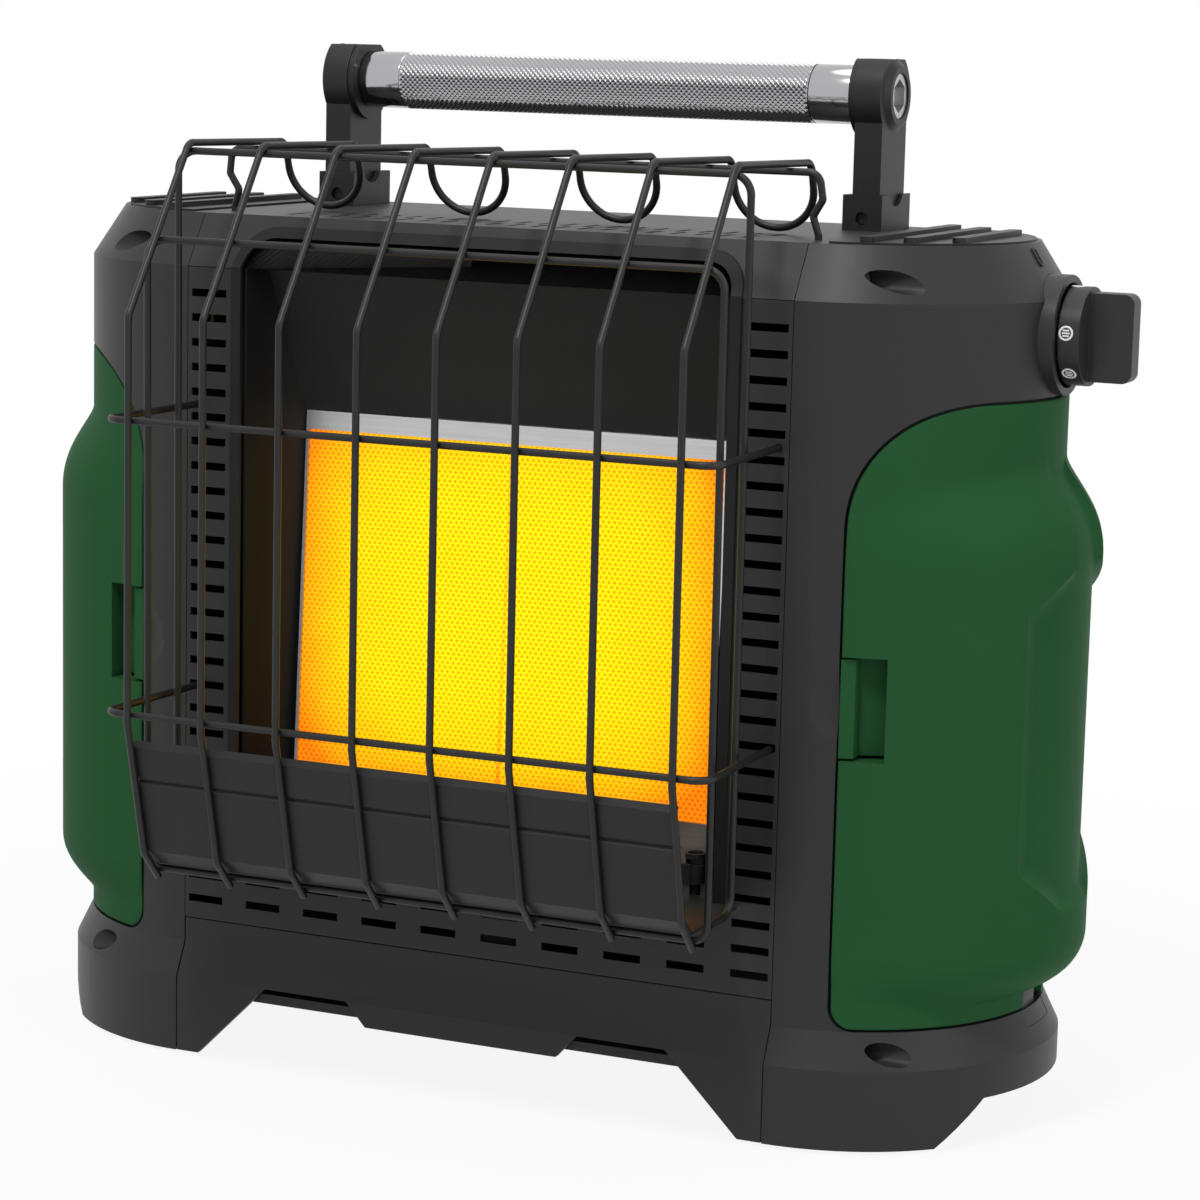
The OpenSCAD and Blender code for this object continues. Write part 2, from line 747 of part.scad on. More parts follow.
// The curved trough in front of the burner: a formed sheet held by the wires' lower ends.
deflector_x = guard_x;
function sheet_line(i) = unit(deflector_path[i + 1] - deflector_path[i]);
function left_of(v) = [-v[1], v[0]];
function side_point(i, d) =
    i == 0 ? deflector_path[0] + left_of(sheet_line(0)) * d
    : i == len(deflector_path) - 1 ? deflector_path[i] + left_of(sheet_line(i - 1)) * d
    : deflector_path[i] + (left_of(sheet_line(i - 1)) + left_of(sheet_line(i)))
        * d / (1 + left_of(sheet_line(i - 1)) * left_of(sheet_line(i)));
wire_clear = wire_r + sheet / 2 + 0.15;
function wire_y(z) = -guard_y + (guard_low_z - z) * 13 / 55;
deflector_path = [
    [wire_y(142.5) + 4, 145], [wire_y(142.5) + wire_clear + 0.3, 142.5], [wire_y(130) + wire_clear + 0.1, 130],
    [wire_y(128.5) + wire_clear + 1.4, 128.5], [wire_y(127) + wire_clear + 0.1, 127],
    [low_knee[0] + wire_clear + 0.1, low_knee[1] + 1], [wire_end[0] - 1, recess_z0 + sheet / 2 + 0.1],
    [burner_y + 6, recess_z0 + sheet / 2 + 0.1]];

module heat_deflector() part(coal) {
    n = len(deflector_path) - 1;
    difference() {
        along_x(-deflector_x, deflector_x) polygon(concat(
            [for (i = [0 : n]) side_point(i, sheet / 2)],
            [for (i = [n : -1 : 0]) side_point(i, -sheet / 2)]));
        both_hands() block([recess_half_w - 1, -2, 0], [far, far, 200]);
        translate([pilot[0], pilot[1], 0]) cylinder(h = 200, r = pilot_pipe_r + 0.5);
    }
}

module pilot_burner() part(brass) translate(pilot) {
    difference() {
        cylinder(h = 12, r = 4.2);
        translate([0, 0, 6]) cylinder(h = 10, r = 3.2);
        translate([-10, -10, 7.5]) cube([20, 10, 2.5]);
    }
    translate([0, 0, -4.6]) cylinder(h = 4.6, r = 2.2);
    translate([-18, -5, 0]) cube([18, 1.2, 8]);
    translate([-18, -5, -4.6]) cube([4, 10, 1.2]);
    translate([-18, -5, -4.6]) cube([4, 1.2, 5]);
}

module thermocouple() part(chrome) translate([pilot[0] - 9, pilot[1] - 1.5, pilot[2] - 4]) {
    cylinder(h = 18, r = 1.6);
    translate([0, 0, 17.9]) sphere(1.6);
}

module igniter_electrode() part([0.9, 0.88, 0.82]) translate([pilot[0] - 15, pilot[1] - 1, pilot[2] - 3]) {
    cylinder(h = 14, r = 2.4);
    translate([0, 0, 13.9]) cylinder(h = 8, r = 0.8);
}

// ---- inside the body ----
module bay_wall() difference() {
    block([bay_wall_x, sheet + 0.2, flare_bottom - 2.9], [bay_wall_x + sheet, body_d - sheet - 0.2, deck_z - sheet - 0.2]);
    shoulder_corner_cut();
    front_and_back() block([0, -1, 0], [far, plastic_wall + 0.2, base_seam_z + 1]);
    translate([0, mid_y, supply_z]) rod_x(0, far, pipe_r + 0.8);
    translate([0, mid_y + 12, supply_z - 6]) rod_x(0, far, pipe_r + 0.8);
    translate([0, mid_y - 8, supply_z - 14]) rod_x(0, far, pilot_pipe_r + 0.8);
}

module shoulder_corner_cut() front_and_back()
    along_x(0, far) polygon([
        [-1, shoulder_z - 2], [sheet + 0.4, shoulder_z - 2], [shoulder_in + sheet + 0.4, deck_z],
        [shoulder_in + sheet, far], [-1, far]]);

module left_bay_wall() part(steel) left_hand() bay_wall();
module right_bay_wall() part(steel) bay_wall();

module tip_over_switch() part(coal) {
    z = flare_bottom - 3;
    block([40, 110, z], [70, 132, z + 26]);
    block([34, 114, z], [76, 128, z + 2]);
    translate([55, 121, z + 26]) cylinder(h = 4, r = 3);
}

module spark_module() part(coal)
    block([bay_wall_x - 14, 112, 190], [bay_wall_x, 138, 240]);

module gas_valve() part(brass) {
    difference() {
        union() {
            block([valve_x[0], mid_y - valve_half, knob_z - valve_half],
                  [valve_x[1], mid_y + valve_half, knob_z + valve_half]);
            translate([0, mid_y, knob_z]) rod_x(valve_x[1], collar_x0, 10);
            translate([0, mid_y, supply_z]) rod_x(valve_x[0] - 5, valve_x[0], pipe_r + 2);
            translate([0, mid_y + 12, supply_z - 6]) rod_x(valve_x[0] - 5, valve_x[0], pipe_r + 2);
            translate([0, mid_y - 8, supply_z - 14]) rod_x(valve_x[0] - 5, valve_x[0], pilot_pipe_r + 2);
        }
        translate([0, mid_y, knob_z]) rod_x(valve_x[0] + 12, far, stem_r + run_fit);
    }
}

module valve_stem() part(steel) translate([0, mid_y, knob_z]) rod_x(valve_x[0] + 14, stem_end, stem_r);

module knob_collar() part(charcoal) translate([0, mid_y, knob_z]) difference() {
    rod_x(collar_x0, collar_x1, collar_r);
    rod_x(collar_x0 + collar_floor, far, knob_r + 1);
    rod_x(0, far, stem_r + 2);
}

module knob_spring() part(steel) translate([0, mid_y, knob_z]) difference() {
    rod_x(collar_x0 + collar_floor, disc_x - knob_travel - 0.3, 10);
    rod_x(0, far, 8.6);
}

module control_knob() part(charcoal) translate([0, mid_y, knob_z]) {
    hub_x = collar_x0 + collar_floor + knob_travel + 0.4;
    corner = 4;
    difference() {
        union() {
            rod_x(hub_x, disc_x + 1, 7.5);
            rod_x(disc_x, disc_x + disc_w, knob_r);
            translate([0, -blade_t / 2, 0]) rotate([90, 0, 0]) mirror([0, 0, 1]) linear_extrude(blade_t) {
                translate([disc_x + disc_w - 1, -blade_h / 2])
                    square([knob_end_x - corner - disc_x - disc_w + 1, blade_h]);
                translate([knob_end_x - corner, -blade_h / 2 + corner]) square([corner, blade_h - 2 * corner]);
                for (s = [-1, 1]) translate([knob_end_x - corner, s * (blade_h / 2 - corner)]) circle(corner);
            }
        }
        rod_x(0, stem_end + knob_travel + 1, stem_r + run_fit);
    }
}

// ---- gas path ----
pipe_bend = 9;
module burner_pipe() part(brass) {
    p = [
        [valve_x[0] - 5, mid_y + 12, supply_z - 6], [burner_pipe_x, mid_y + 12, supply_z - 6],
        [burner_pipe_x, mid_y + 12, venturi_z], [burner_pipe_x, venturi_y, venturi_z],
        [orifice_x - 0.5, venturi_y, venturi_z]];
    bent_rod(p, pipe_r, [0, pipe_bend, pipe_bend, pipe_r + 0.9, 0]);
}

module pilot_pipe() part(brass) {
    p = [
        [valve_x[0] - 5, mid_y - 8, supply_z - 14], [pilot_pipe_x, mid_y - 8, supply_z - 14],
        [pilot_pipe_x, mid_y - 8, pilot_low_z], [pilot[0], pilot[1], pilot_low_z],
        [pilot[0], pilot[1], pilot[2] - 4.6]];
    bent_rod(p, pilot_pipe_r, [0, pilot_pipe_r + 1, 6, 5, 0]);
}

module supply_pipe() part(brass) {
    p = [
        [-cylinder_x, mid_y, regulator_z + regulator_h], [-cylinder_x, mid_y, supply_z],
        [valve_x[0] - 5, mid_y, supply_z]];
    bent_rod(p, pipe_r, same_bend(p, pipe_bend));
}

module regulator() {
    difference() {
        union() {
            translate([cylinder_x, mid_y, socket_z]) cylinder(h = regulator_z - socket_z + 1, r = socket_boss_r);
            translate([cylinder_x, mid_y, regulator_z]) cylinder(h = regulator_h, r = regulator_r);
            translate([cylinder_x, mid_y, regulator_z + 7]) cylinder(h = 4, r = regulator_r + 3);
            translate([0, mid_y, regulator_z + regulator_h / 2])
                rod_x(bay_wall_x + sheet, cylinder_x, 7);
        }
        translate([cylinder_x, mid_y, socket_z - 1]) cylinder(h = socket_depth + 1, r = socket_r);
    }
}

module left_regulator() part(steel) left_hand() regulator();

module right_regulator() part(steel) {
    regulator();
    translate([valve_x[0] + 6, mid_y, regulator_z + regulator_h]) cylinder(
        h = knob_z - valve_half - regulator_z - regulator_h, r = 5);
}

// ---- guard ----
// One hairpin: two front wires joined by a hanging loop at the back.
module hairpin(x) {
    half = wire_pitch / 2;
    side = [
        [wire_end[0], wire_end[1]], [low_knee[0], low_knee[1]], [-guard_y, guard_low_z],
        [-guard_y, guard_knee_z], [top_front_y, guard_top_z], [top_rear_y, top_rear_z], [loop_y, loop_z]];
    up = [for (q = side) [x - half, q[0], q[1]]];
    down = [for (i = [len(side) - 1 : -1 : 0]) [x + half, side[i][0], side[i][1]]];
    b = wire_bend;
    bends = [0, b, b, b, b, b, half - 0.02, half - 0.02, b, b, b, b, b, 0];
    bent_rod(concat(up, down), wire_r, bends);
}

module guard_wires() part(coal)
    for (i = [-3 : 2 : 3]) hairpin(i * wire_pitch);

slope_len = norm([top_front_y + guard_y, guard_top_z - guard_knee_z]);
slope_in = [guard_top_z - guard_knee_z, -(top_front_y + guard_y)] / slope_len;
mid_bar = [-guard_y, guard_knee_z] + [top_front_y + guard_y, guard_top_z - guard_knee_z] * 0.46
    + slope_in * (wire_d + weld);

// The middle frame closes with a bar behind the wires' lower ends.
low_run = unit(wire_end - low_knee);
low_bar = wire_end - low_run * 2 + [-low_run[1], low_run[0]] * (wire_d + weld);

module guard_middle_frame() part(coal) {
    x = frame_x;
    b = 8;
    p = [
        [-x + b, low_bar[0], low_bar[1]], [-x, low_bar[0], low_bar[1]], [-x, mid_bar[0], mid_bar[1]],
        [x, mid_bar[0], mid_bar[1]], [x, low_bar[0], low_bar[1]], [x - b, low_bar[0], low_bar[1]]];
    bent_rod(p, wire_r, [0, b - 2, b, b, b - 2, 0]);
    translate([0, low_bar[0], low_bar[1]]) rod_x(-x + b - run_into, x - b + run_into, wire_r + bend_over);
}

module guard_rear_frame() part(coal) {
    y = top_front_y + 1.6;
    z = guard_top_z - wire_d - weld - 3.5 * bend_over;
    low = low_bar[1] + 6;
    end_y = low_bar[0] + (mid_bar[0] - low_bar[0]) * 6 / (mid_bar[1] - low_bar[1]) + wire_r + 0.2;
    p = [
        [-frame_x, end_y, low], [-frame_x, y + 1, low], [-frame_x, y, z], [frame_x, y, z],
        [frame_x, y + 1, low], [frame_x, end_y, low]];
    bent_rod(p, wire_r, same_bend(p, 8));
}

module guard_top_rail() part(coal) {
    y = 30;
    z = guard_top_z - 0.8 - wire_d - weld;
    x = slot_x + 6.6;
    p = [
        [-x, y + 2, deck_z], [-x, y + 2, deck_z + 2], [-x + 2.2, y + 1.4, deck_z + 9],
        [-x - 1.8, y + 0.8, deck_z + 15.5], [-x - 0.4, y, z],
        [x + 0.4, y, z], [x + 1.8, y + 0.8, deck_z + 15.5], [x - 2.2, y + 1.4, deck_z + 9],
        [x, y + 2, deck_z + 2], [x, y + 2, deck_z]];
    c = wire_r + 0.9;
    bent_rod(p, wire_r, [0, wire_r + 0.1, c, c, 5, 5, c, c, wire_r + 0.1, 0]);
}

module guard_rail(z) {
    x = slot_x + 5.3;
    p = [[-x, 0.9, z], [-x - 2.2, rail_y, z], [x + 2.2, rail_y, z], [x, 0.9, z]];
    bent_rod(p, wire_r, same_bend(p, 7));
}

module guard_upper_rail() part(coal) guard_rail(upper_rail_z);
module guard_lower_rail() part(coal) guard_rail(lower_rail_z);

// ---- doors ----
// Outline of the bulge from its axis outwards, shrunk by some wall.
module bulge_outline(inset) intersection() {
    union() {
        translate([0, bulge_low_z]) square([bulge_r - inset, bulge_high_z - bulge_low_z]);
        translate([bulge_r - bulge_high_r, bulge_high_z]) circle(bulge_high_r - inset);
        translate([0, bulge_high_z - 1]) square([bulge_r - bulge_high_r, bulge_high_r - inset + 1]);
        translate([bulge_r - bulge_low_r, bulge_low_z]) circle(bulge_low_r - inset);
        translate([0, bulge_low_z - bulge_low_r + inset])
            square([bulge_r - bulge_low_r, bulge_low_r - inset + 1]);
    }
    square([far, far]);
}

module bulge(inset) translate([bulge_x, mid_y, 0]) rotate_extrude($fn = 96) bulge_outline(inset);

module panel_prism(grow) along_x(bulge_x + 10, seam_x + far) polygon([
    [mid_y - panel_y[0] - grow, panel_z[0][0] - grow], [mid_y - panel_y[0] - grow, panel_z[0][1] + grow],
    [mid_y - panel_y[1] - grow, panel_z[1][1] + grow], [mid_y + panel_y[1] + grow, panel_z[1][1] + grow],
    [mid_y + panel_y[0] + grow, panel_z[0][1] + grow], [mid_y + panel_y[0] + grow, panel_z[0][0] - grow],
    [mid_y + panel_y[1] + grow, panel_z[1][0] - grow], [mid_y - panel_y[1] - grow, panel_z[1][0] - grow]]);

module bulge_core(r) translate([bulge_x, mid_y, 0]) cylinder(h = far, r = r, $fn = 96);
module end_core(r) translate([seam_x, mid_y, 0]) cylinder(h = far, r = r, $fn = 96);

// The window round the latch, seen from the front.
module latch_window(w, grow) translate([door_x - 1, latch_z[0] - grow])
    square([w + 1 + grow, latch_z[1] - latch_z[0] + 2 * grow]);

module door() difference() {
    union() {
        intersection() {
            difference() {
                union() {
                    end_core(end_r);
                    bulge(0);
                }
                difference() {
                    union() {
                        end_core(end_r - plastic_wall);
                        bulge(plastic_wall);
                    }
                    difference() {
                        panel_prism(plastic_wall);
                        bulge_core(bulge_r - panel_sink - plastic_wall);
                    }
                    along_y(-far, mid_y) latch_window(pocket_w, 2.2);
                }
                end_core(end_r - pocket_sink - 2);
                bulge(panel_sink + plastic_wall + 1);
            }
            along_y(-far, far) door_outline(-door_gap);
        }
        intersection() {
            for (z = hinge_low_z) {
                translate([hinge_x, hinge_y, z + knuckle_h]) cylinder(h = door_knuckle_h, r = knuckle_r);
                translate([hinge_x, hinge_y - 2.6, z + knuckle_h]) cube([8, 4, door_knuckle_h]);
            }
            translate([hinge_x - knuckle_r - 1, body_d - 20, 0]) cube([40, 40, far]);
        }
    }
    difference() {
        panel_prism(0);
        bulge_core(bulge_r - panel_sink);
    }
    difference() {
        along_y(-far, mid_y) latch_window(pocket_w, 0);
        end_core(end_r - pocket_sink);
    }
    block([seam_x + 40, mid_y - notch_half_w, 0], [seam_x + far, mid_y + notch_half_w, notch_z]);
    for (z = hinge_low_z) {
        translate([hinge_x, hinge_y, z]) cylinder(h = hinge_h, r = hinge_pin_r + run_fit);
        for (dz = [0, hinge_h - knuckle_h])
            translate([hinge_x, hinge_y, z + dz - knuckle_gap / 2])
                cylinder(h = knuckle_h + knuckle_gap, r = knuckle_r + 0.6);
    }
}

module left_door() part(green) left_hand() door();
module right_door() part(green) door();

module hinge_pins() for (z = hinge_low_z)
    translate([hinge_x, hinge_y, z]) cylinder(h = hinge_h, r = hinge_pin_r);

module left_hinge_pins() part(steel) left_hand() hinge_pins();
module right_hinge_pins() part(steel) hinge_pins();

// The finger tab at the door's front edge, which slides back in its pocket.
module door_latch() intersection() {
    difference() {
        end_core(end_r);
        end_core(end_r - pocket_sink + 0.3);
    }
    along_y(-far, mid_y) translate([door_x + door_gap, latch_z[0] + 0.4])
        square([latch_w, latch_z[1] - latch_z[0] - 0.8]);
}

module left_door_latch() part(green) left_hand() door_latch();
module right_door_latch() part(green) door_latch();

// ---- handle ----
module handle_bracket() difference() {
    block([bracket_x, bracket_y, deck_z], [bracket_x + bracket_w, bracket_y + bracket_d, deck_z + bracket_h]);
    block([arm_x - arm_gap, bracket_y + 1, deck_z + 0.5],
          [arm_x + arm_w + arm_gap, bracket_y + bracket_d + 1, deck_z + bracket_h + 1]);
    translate([0, handle_y + 0.4, deck_z + bracket_h + 4]) rod_x(0, far, 8.8);
    translate([arm_x + 5, bracket_y - 1, deck_z + 4.9]) rotate([-90, 0, 0]) cylinder(h = 4, r = 2.6);
    translate([0, pivot_y, pivot_z]) rod_x(arm_x - arm_gap - 2, arm_x + arm_w + arm_gap + 0.9, pivot_r);
}

module left_handle_bracket() part(coal) left_hand() handle_bracket();
module right_handle_bracket() part(coal) handle_bracket();

// Seen from the side: a round head on a flat arm, with the foot rounded to clear the deck.
module arm_outline() {
    heel = arm_heel;
    difference() {
        union() {
            translate([handle_y, grip_z]) circle(head_r);
            polygon([
                [arm_y + 1.5, pivot_z - heel], [arm_y, pivot_z - heel + 2], [arm_y, grip_z],
                [arm_y + arm_d, grip_z], [arm_y + arm_d, pivot_z], [pivot_y, pivot_z - heel]]);
            translate([pivot_y, pivot_z]) circle(heel);
        }
        translate([0, grip_z + head_top]) square([far, far]);
    }
}

module handle_arm() difference() {
    union() {
        along_x(arm_x, arm_x + arm_w) arm_outline();
        translate([0, handle_y, grip_z]) {
            difference() {
                rod_x(arm_x - 2.4, arm_x + 1, head_r - 1);
                translate([0, -far / 2, head_top]) cube([far, far, far]);
            }
            translate([arm_x + arm_w, 0, 0]) rotate([0, 90, 0]) cylinder(h = 2.4, r1 = head_r - 3.4, r2 = head_r - 6);
        }
    }
    translate([0, handle_y, grip_z]) rod_x(arm_x + arm_w - 5, far, 9.2);
    translate([0, handle_y, grip_z]) rod_x(0, far, 5);
    translate([0, pivot_y, pivot_z]) rod_x(0, far, pivot_r + run_fit);
}

module left_handle_arm() part(coal) left_hand() handle_arm();
module right_handle_arm() part(coal) handle_arm();

grip_half = arm_x - 2.4;

module handle_grip() part(chrome) translate([0, handle_y, grip_z]) difference() {
    rod_x(-grip_half, grip_half, grip_d / 2);
    both_hands() rod_x(grip_half - 25, far, 4);
}

// Hexagon-socket bolts that hold the grip between the arms.
module handle_bolts() part(coal) both_hands() translate([0, handle_y, grip_z]) difference() {
    union() {
        rod_x(grip_half - 22, arm_x + arm_w - 4, 4);
        rod_x(arm_x + arm_w - 5, arm_x + arm_w + 1.6, 9);
    }
    translate([arm_x + arm_w - 3, 0, 0]) rotate([0, 90, 0]) cylinder(h = 10, r = 7, $fn = 6);
}

module handle_pivot_pins() part(steel) both_hands() translate([0, pivot_y, pivot_z])
    rod_x(arm_x - arm_gap - 1.9, arm_x + arm_w + arm_gap + 0.8, pivot_r);

front_panel();
top_cover();
rear_cover();
base_skirt();
base_pan();
left_end_housing();
right_end_housing();
left_top_pad();
right_top_pad();
rubber_feet();
housing_screws();
recess_trim();
reflector_hood();
burner_frame();
left_burner_tile();
right_burner_tile();
burner_plenum();
mixing_tube();
orifice_holder();
heat_deflector();
pilot_burner();
thermocouple();
igniter_electrode();
left_bay_wall();
right_bay_wall();
tip_over_switch();
spark_module();
gas_valve();
valve_stem();
control_knob();
knob_collar();
knob_spring();
burner_pipe();
pilot_pipe();
supply_pipe();
left_regulator();
right_regulator();
guard_wires();
guard_middle_frame();
guard_rear_frame();
guard_top_rail();
guard_upper_rail();
guard_lower_rail();
left_door();
right_door();
left_hinge_pins();
right_hinge_pins();
left_door_latch();
right_door_latch();
left_handle_bracket();
right_handle_bracket();
left_handle_arm();
right_handle_arm();
handle_grip();
handle_bolts();
handle_pivot_pins();
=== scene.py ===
"""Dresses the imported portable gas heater: finishes, pieces finer than the frame's, studio."""
import json
import math

import bpy
from mathutils import Matrix, Vector


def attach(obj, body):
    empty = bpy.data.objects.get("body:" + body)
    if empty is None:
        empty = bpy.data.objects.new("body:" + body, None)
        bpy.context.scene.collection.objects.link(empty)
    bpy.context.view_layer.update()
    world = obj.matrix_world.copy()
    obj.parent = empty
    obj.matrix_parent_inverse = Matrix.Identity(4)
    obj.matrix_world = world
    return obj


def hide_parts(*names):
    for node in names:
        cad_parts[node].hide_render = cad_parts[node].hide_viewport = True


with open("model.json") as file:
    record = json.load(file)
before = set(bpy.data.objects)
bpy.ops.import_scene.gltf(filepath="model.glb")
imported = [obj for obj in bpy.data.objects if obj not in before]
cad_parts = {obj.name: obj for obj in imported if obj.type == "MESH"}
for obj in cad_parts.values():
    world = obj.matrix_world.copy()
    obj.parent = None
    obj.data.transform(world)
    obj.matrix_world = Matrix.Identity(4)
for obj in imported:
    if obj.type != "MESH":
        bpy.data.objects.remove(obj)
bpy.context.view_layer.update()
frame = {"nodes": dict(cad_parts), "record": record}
NODES = frame["nodes"]
BODY_OF = {
    node: body for body, nodes in frame["record"]["behaviour"]["bodies"].items() for node in nodes}

MM = 0.001
PER_METRE = 1000.0
# The drawing's origin, in the frame: the middle of the body's width, on the front panel.
DRAWING_X, DRAWING_Y = -6.0, -48.675


def at(x, y, z):
    """A point of the drawing, in millimetres, as metres in the frame."""
    return Vector(((x + DRAWING_X) * MM, (y + DRAWING_Y) * MM, z * MM))


# ---------------------------------------------------------------- nodes


class Value:
    """A number or colour that varies over a surface. Arithmetic on it adds Math nodes."""

    def __init__(self, nodes, socket):
        self.nodes, self.socket = nodes, socket

    def _math(self, operation, *terms):
        return self.nodes.node("Math", {"operation": operation}, *terms)

    def __add__(self, other):
        return self._math("ADD", self, other)

    __radd__ = __add__

    def __sub__(self, other):
        return self._math("SUBTRACT", self, other)

    def __rsub__(self, other):
        return self._math("SUBTRACT", other, self)

    def __mul__(self, other):
        return self._math("MULTIPLY", self, other)

    __rmul__ = __mul__

    def __truediv__(self, other):
        return self._math("DIVIDE", self, other)

    def __abs__(self):
        return self._math("ABSOLUTE", self)

    def power(self, exponent):
        return self._math("POWER", self, exponent)

    def wrap(self, low, high):
        return self._math("WRAP", self, high, low)

    def floor(self):
        return self._math("FLOOR", self)

    def root(self):
        return self._math("SQRT", self)

    def most(self, other):
        return self._math("MAXIMUM", self, other)

    def step(self, start, end, low=0.0, high=1.0):
        """Low before start, high after end and smooth between them."""
        return self.nodes.node(
            "MapRange", {"interpolation_type": "SMOOTHSTEP"}, self, start, end, low, high)


class Nodes:
    """The nodes of a finish, of the floor or of the world."""

    def __init__(self, owner):
        owner.use_nodes = True
        self.tree = owner.node_tree
        self.tree.nodes.clear()

    def node(self, kind, settings=None, *values, out=0, **named):
        """Adds a node: its settings first, then the values or links of its sockets."""
        made = self.tree.nodes.new("ShaderNode" + kind)
        for setting, value in (settings or {}).items():
            if setting == "stops":
                ramp = made.color_ramp
                while len(ramp.elements) < len(value):
                    ramp.elements.new(0.5)
                for element, (position, color) in zip(ramp.elements, value):
                    element.position, element.color = position, (*color, 1.0)
            else:
                setattr(made, setting, value)
        for key, value in [*enumerate(values), *named.items()]:
            self.feed(made.inputs[key.replace("_", " ") if isinstance(key, str) else key], value)
        return Value(self, made.outputs[out]) if made.outputs else None

    def feed(self, socket, value):
        """Links a socket to what varies, or sets a number or colour on it."""
        if isinstance(value, Value):
            value = value.socket
        if isinstance(value, bpy.types.NodeSocket):
            self.tree.links.new(value, socket)
        else:
            socket.default_value = value


# ---------------------------------------------------------------- finishes

# Where a Mix node has its two colours and their mixture.
MIX_LOW, MIX_HIGH, MIX_RESULT = 6, 7, 2


class Finish(Nodes):
    """One material, made with the Principled shader."""

    def __init__(self, title, color, roughness, metallic=0.0, **sockets):
        self.material = bpy.data.materials.new(title)
        super().__init__(self.material)
        self.shader = self.tree.nodes.new("ShaderNodeBsdfPrincipled")
        self.node("OutputMaterial", {}, Surface=self.shader.outputs[0])
        self.set(Base_Color=(*color, 1.0), Roughness=roughness, Metallic=metallic, **sockets)
        self.place = self.tree.nodes.new("ShaderNodeTexCoord").outputs["Object"]

    def set(self, **inputs):
        """Feeds sockets of the shader."""
        for key, value in inputs.items():
            self.feed(self.shader.inputs[key.replace("_", " ")], value)

    def axes(self):
        """The three coordinates, in millimetres."""
        parts = self.tree.nodes.new("ShaderNodeSeparateXYZ")
        self.feed(parts.inputs[0], self.place)
        return [Value(self, socket) * PER_METRE for socket in parts.outputs]

    def noise(self, per_metre, detail=2.0, stretch=(1.0, 1.0, 1.0)):
        spot = self.node("Mapping", {}, Vector=self.place, Scale=stretch)
        return self.node("TexNoise", {}, Vector=spot, Scale=per_metre, Detail=detail)

    def tint(self, mask, low, high):
        """The colour low where the mask is 0 and high where it is 1."""
        made = self.tree.nodes.new("ShaderNodeMix")
        made.data_type = "RGBA"
        self.feed(made.inputs[0], mask)
        self.feed(made.inputs[MIX_LOW], (*low, 1.0))
        self.feed(made.inputs[MIX_HIGH], (*high, 1.0))
        return Value(self, made.outputs[MIX_RESULT])

    def bump(self, height, distance):
        self.set(Normal=self.node("Bump", {}, Strength=1.0, Distance=distance, Height=height))


def grey(shade):
    return (shade, shade, shade)


PATCHES_PER_METRE = 14.0
PATCH_GLOSS, GRAIN_GLOSS = 0.06, 0.05


def grained(title, color, roughness, grain_per_mm, depth_mm, specular, patch=0.06):
    """A moulded or coated surface: a fine grain, and faint patches of shade and gloss."""
    made = Finish(title, color, roughness, Specular_IOR_Level=specular)
    grain = made.noise(grain_per_mm * PER_METRE, 3.0)
    cloud = made.noise(PATCHES_PER_METRE)
    dark = [part * (1.0 - patch) for part in color]
    light = [part * (1.0 + patch) for part in color]
    made.set(
        Base_Color=made.tint(cloud, dark, light),
        Roughness=roughness - GRAIN_GLOSS + cloud * PATCH_GLOSS + grain * GRAIN_GLOSS)
    made.bump(grain, depth_mm * MM)
    return made


# Title, colour, roughness, grains per millimetre, their depth in millimetres, specular level,
# and for two coats how little their shade varies.
COATS = {
    "panel": ("charcoal powder coat", grey(0.026), 0.45, 1.1, 0.04, 0.26),
    "charcoal": ("charcoal moulded plastic", grey(0.026), 0.43, 1.6, 0.03, 0.25),
    "black": ("black moulded plastic", grey(0.014), 0.46, 1.6, 0.03, 0.30),
    "green": ("green moulded plastic", (0.0225, 0.0970, 0.0345), 0.55, 1.6, 0.02, 0.03),
    "wire": ("black wire coat", grey(0.011), 0.42, 2.0, 0.02, 0.35),
    "sheet": ("black heat-proof sheet", grey(0.012), 0.50, 1.2, 0.02, 0.12),
    "shield": ("charcoal heat-proof sheet", grey(0.019), 0.46, 1.2, 0.02, 0.25),
    "trim": ("black trim sheet", grey(0.0150), 0.48, 1.2, 0.02, 0.15),
    "grommet": ("grey rubber", grey(0.075), 0.60, 2.2, 0.03, 0.25),
    "rubber": ("black rubber", grey(0.009), 0.75, 2.2, 0.04, 0.25),
    "print": ("white print", grey(0.86), 0.55, 1.2, 0.005, 0.3, 0.02),
    "porcelain": ("glazed porcelain", (0.75, 0.73, 0.68), 0.25, 1.0, 0.01, 0.5, 0.02),
}

# The recess's cheeks beside the burner, from the middle of the body, and two colours: the hood's
# own and the painted shade on its cheeks.
CHEEK_FROM, CHEEK_TO = 94.0, 104.0
HOOD_SHADE, PAINTED_CHEEK_SHADE = grey(0.0260), (0.0056, 0.0062, 0.0078)


def paint_cheek_shade(sheet):
    """Paints shade onto the recess's cheeks: a colour darker than its hood, standing in for the
    shade inside the recess.
    """
    x = sheet.axes()[0]
    cheek_shade_mask = abs(x - DRAWING_X).step(CHEEK_FROM, CHEEK_TO)
    # Painted shade: the cheeks go from the hood's colour to a darker one.
    sheet.set(Base_Color=sheet.tint(cheek_shade_mask, HOOD_SHADE, PAINTED_CHEEK_SHADE))


# How many marks each metal has to a metre.
BRUSH_LINES, BRUSH_CLOUDS, CHROME_HAZE, TOOL_MARKS, SPANGLES = 900.0, 30.0, 60.0, 700.0, 300.0
# The brushed lines are drawn out along X, and this deep.
BRUSH_STRETCH, BRUSH_DEEP = (0.02, 1.0, 1.0), 0.02


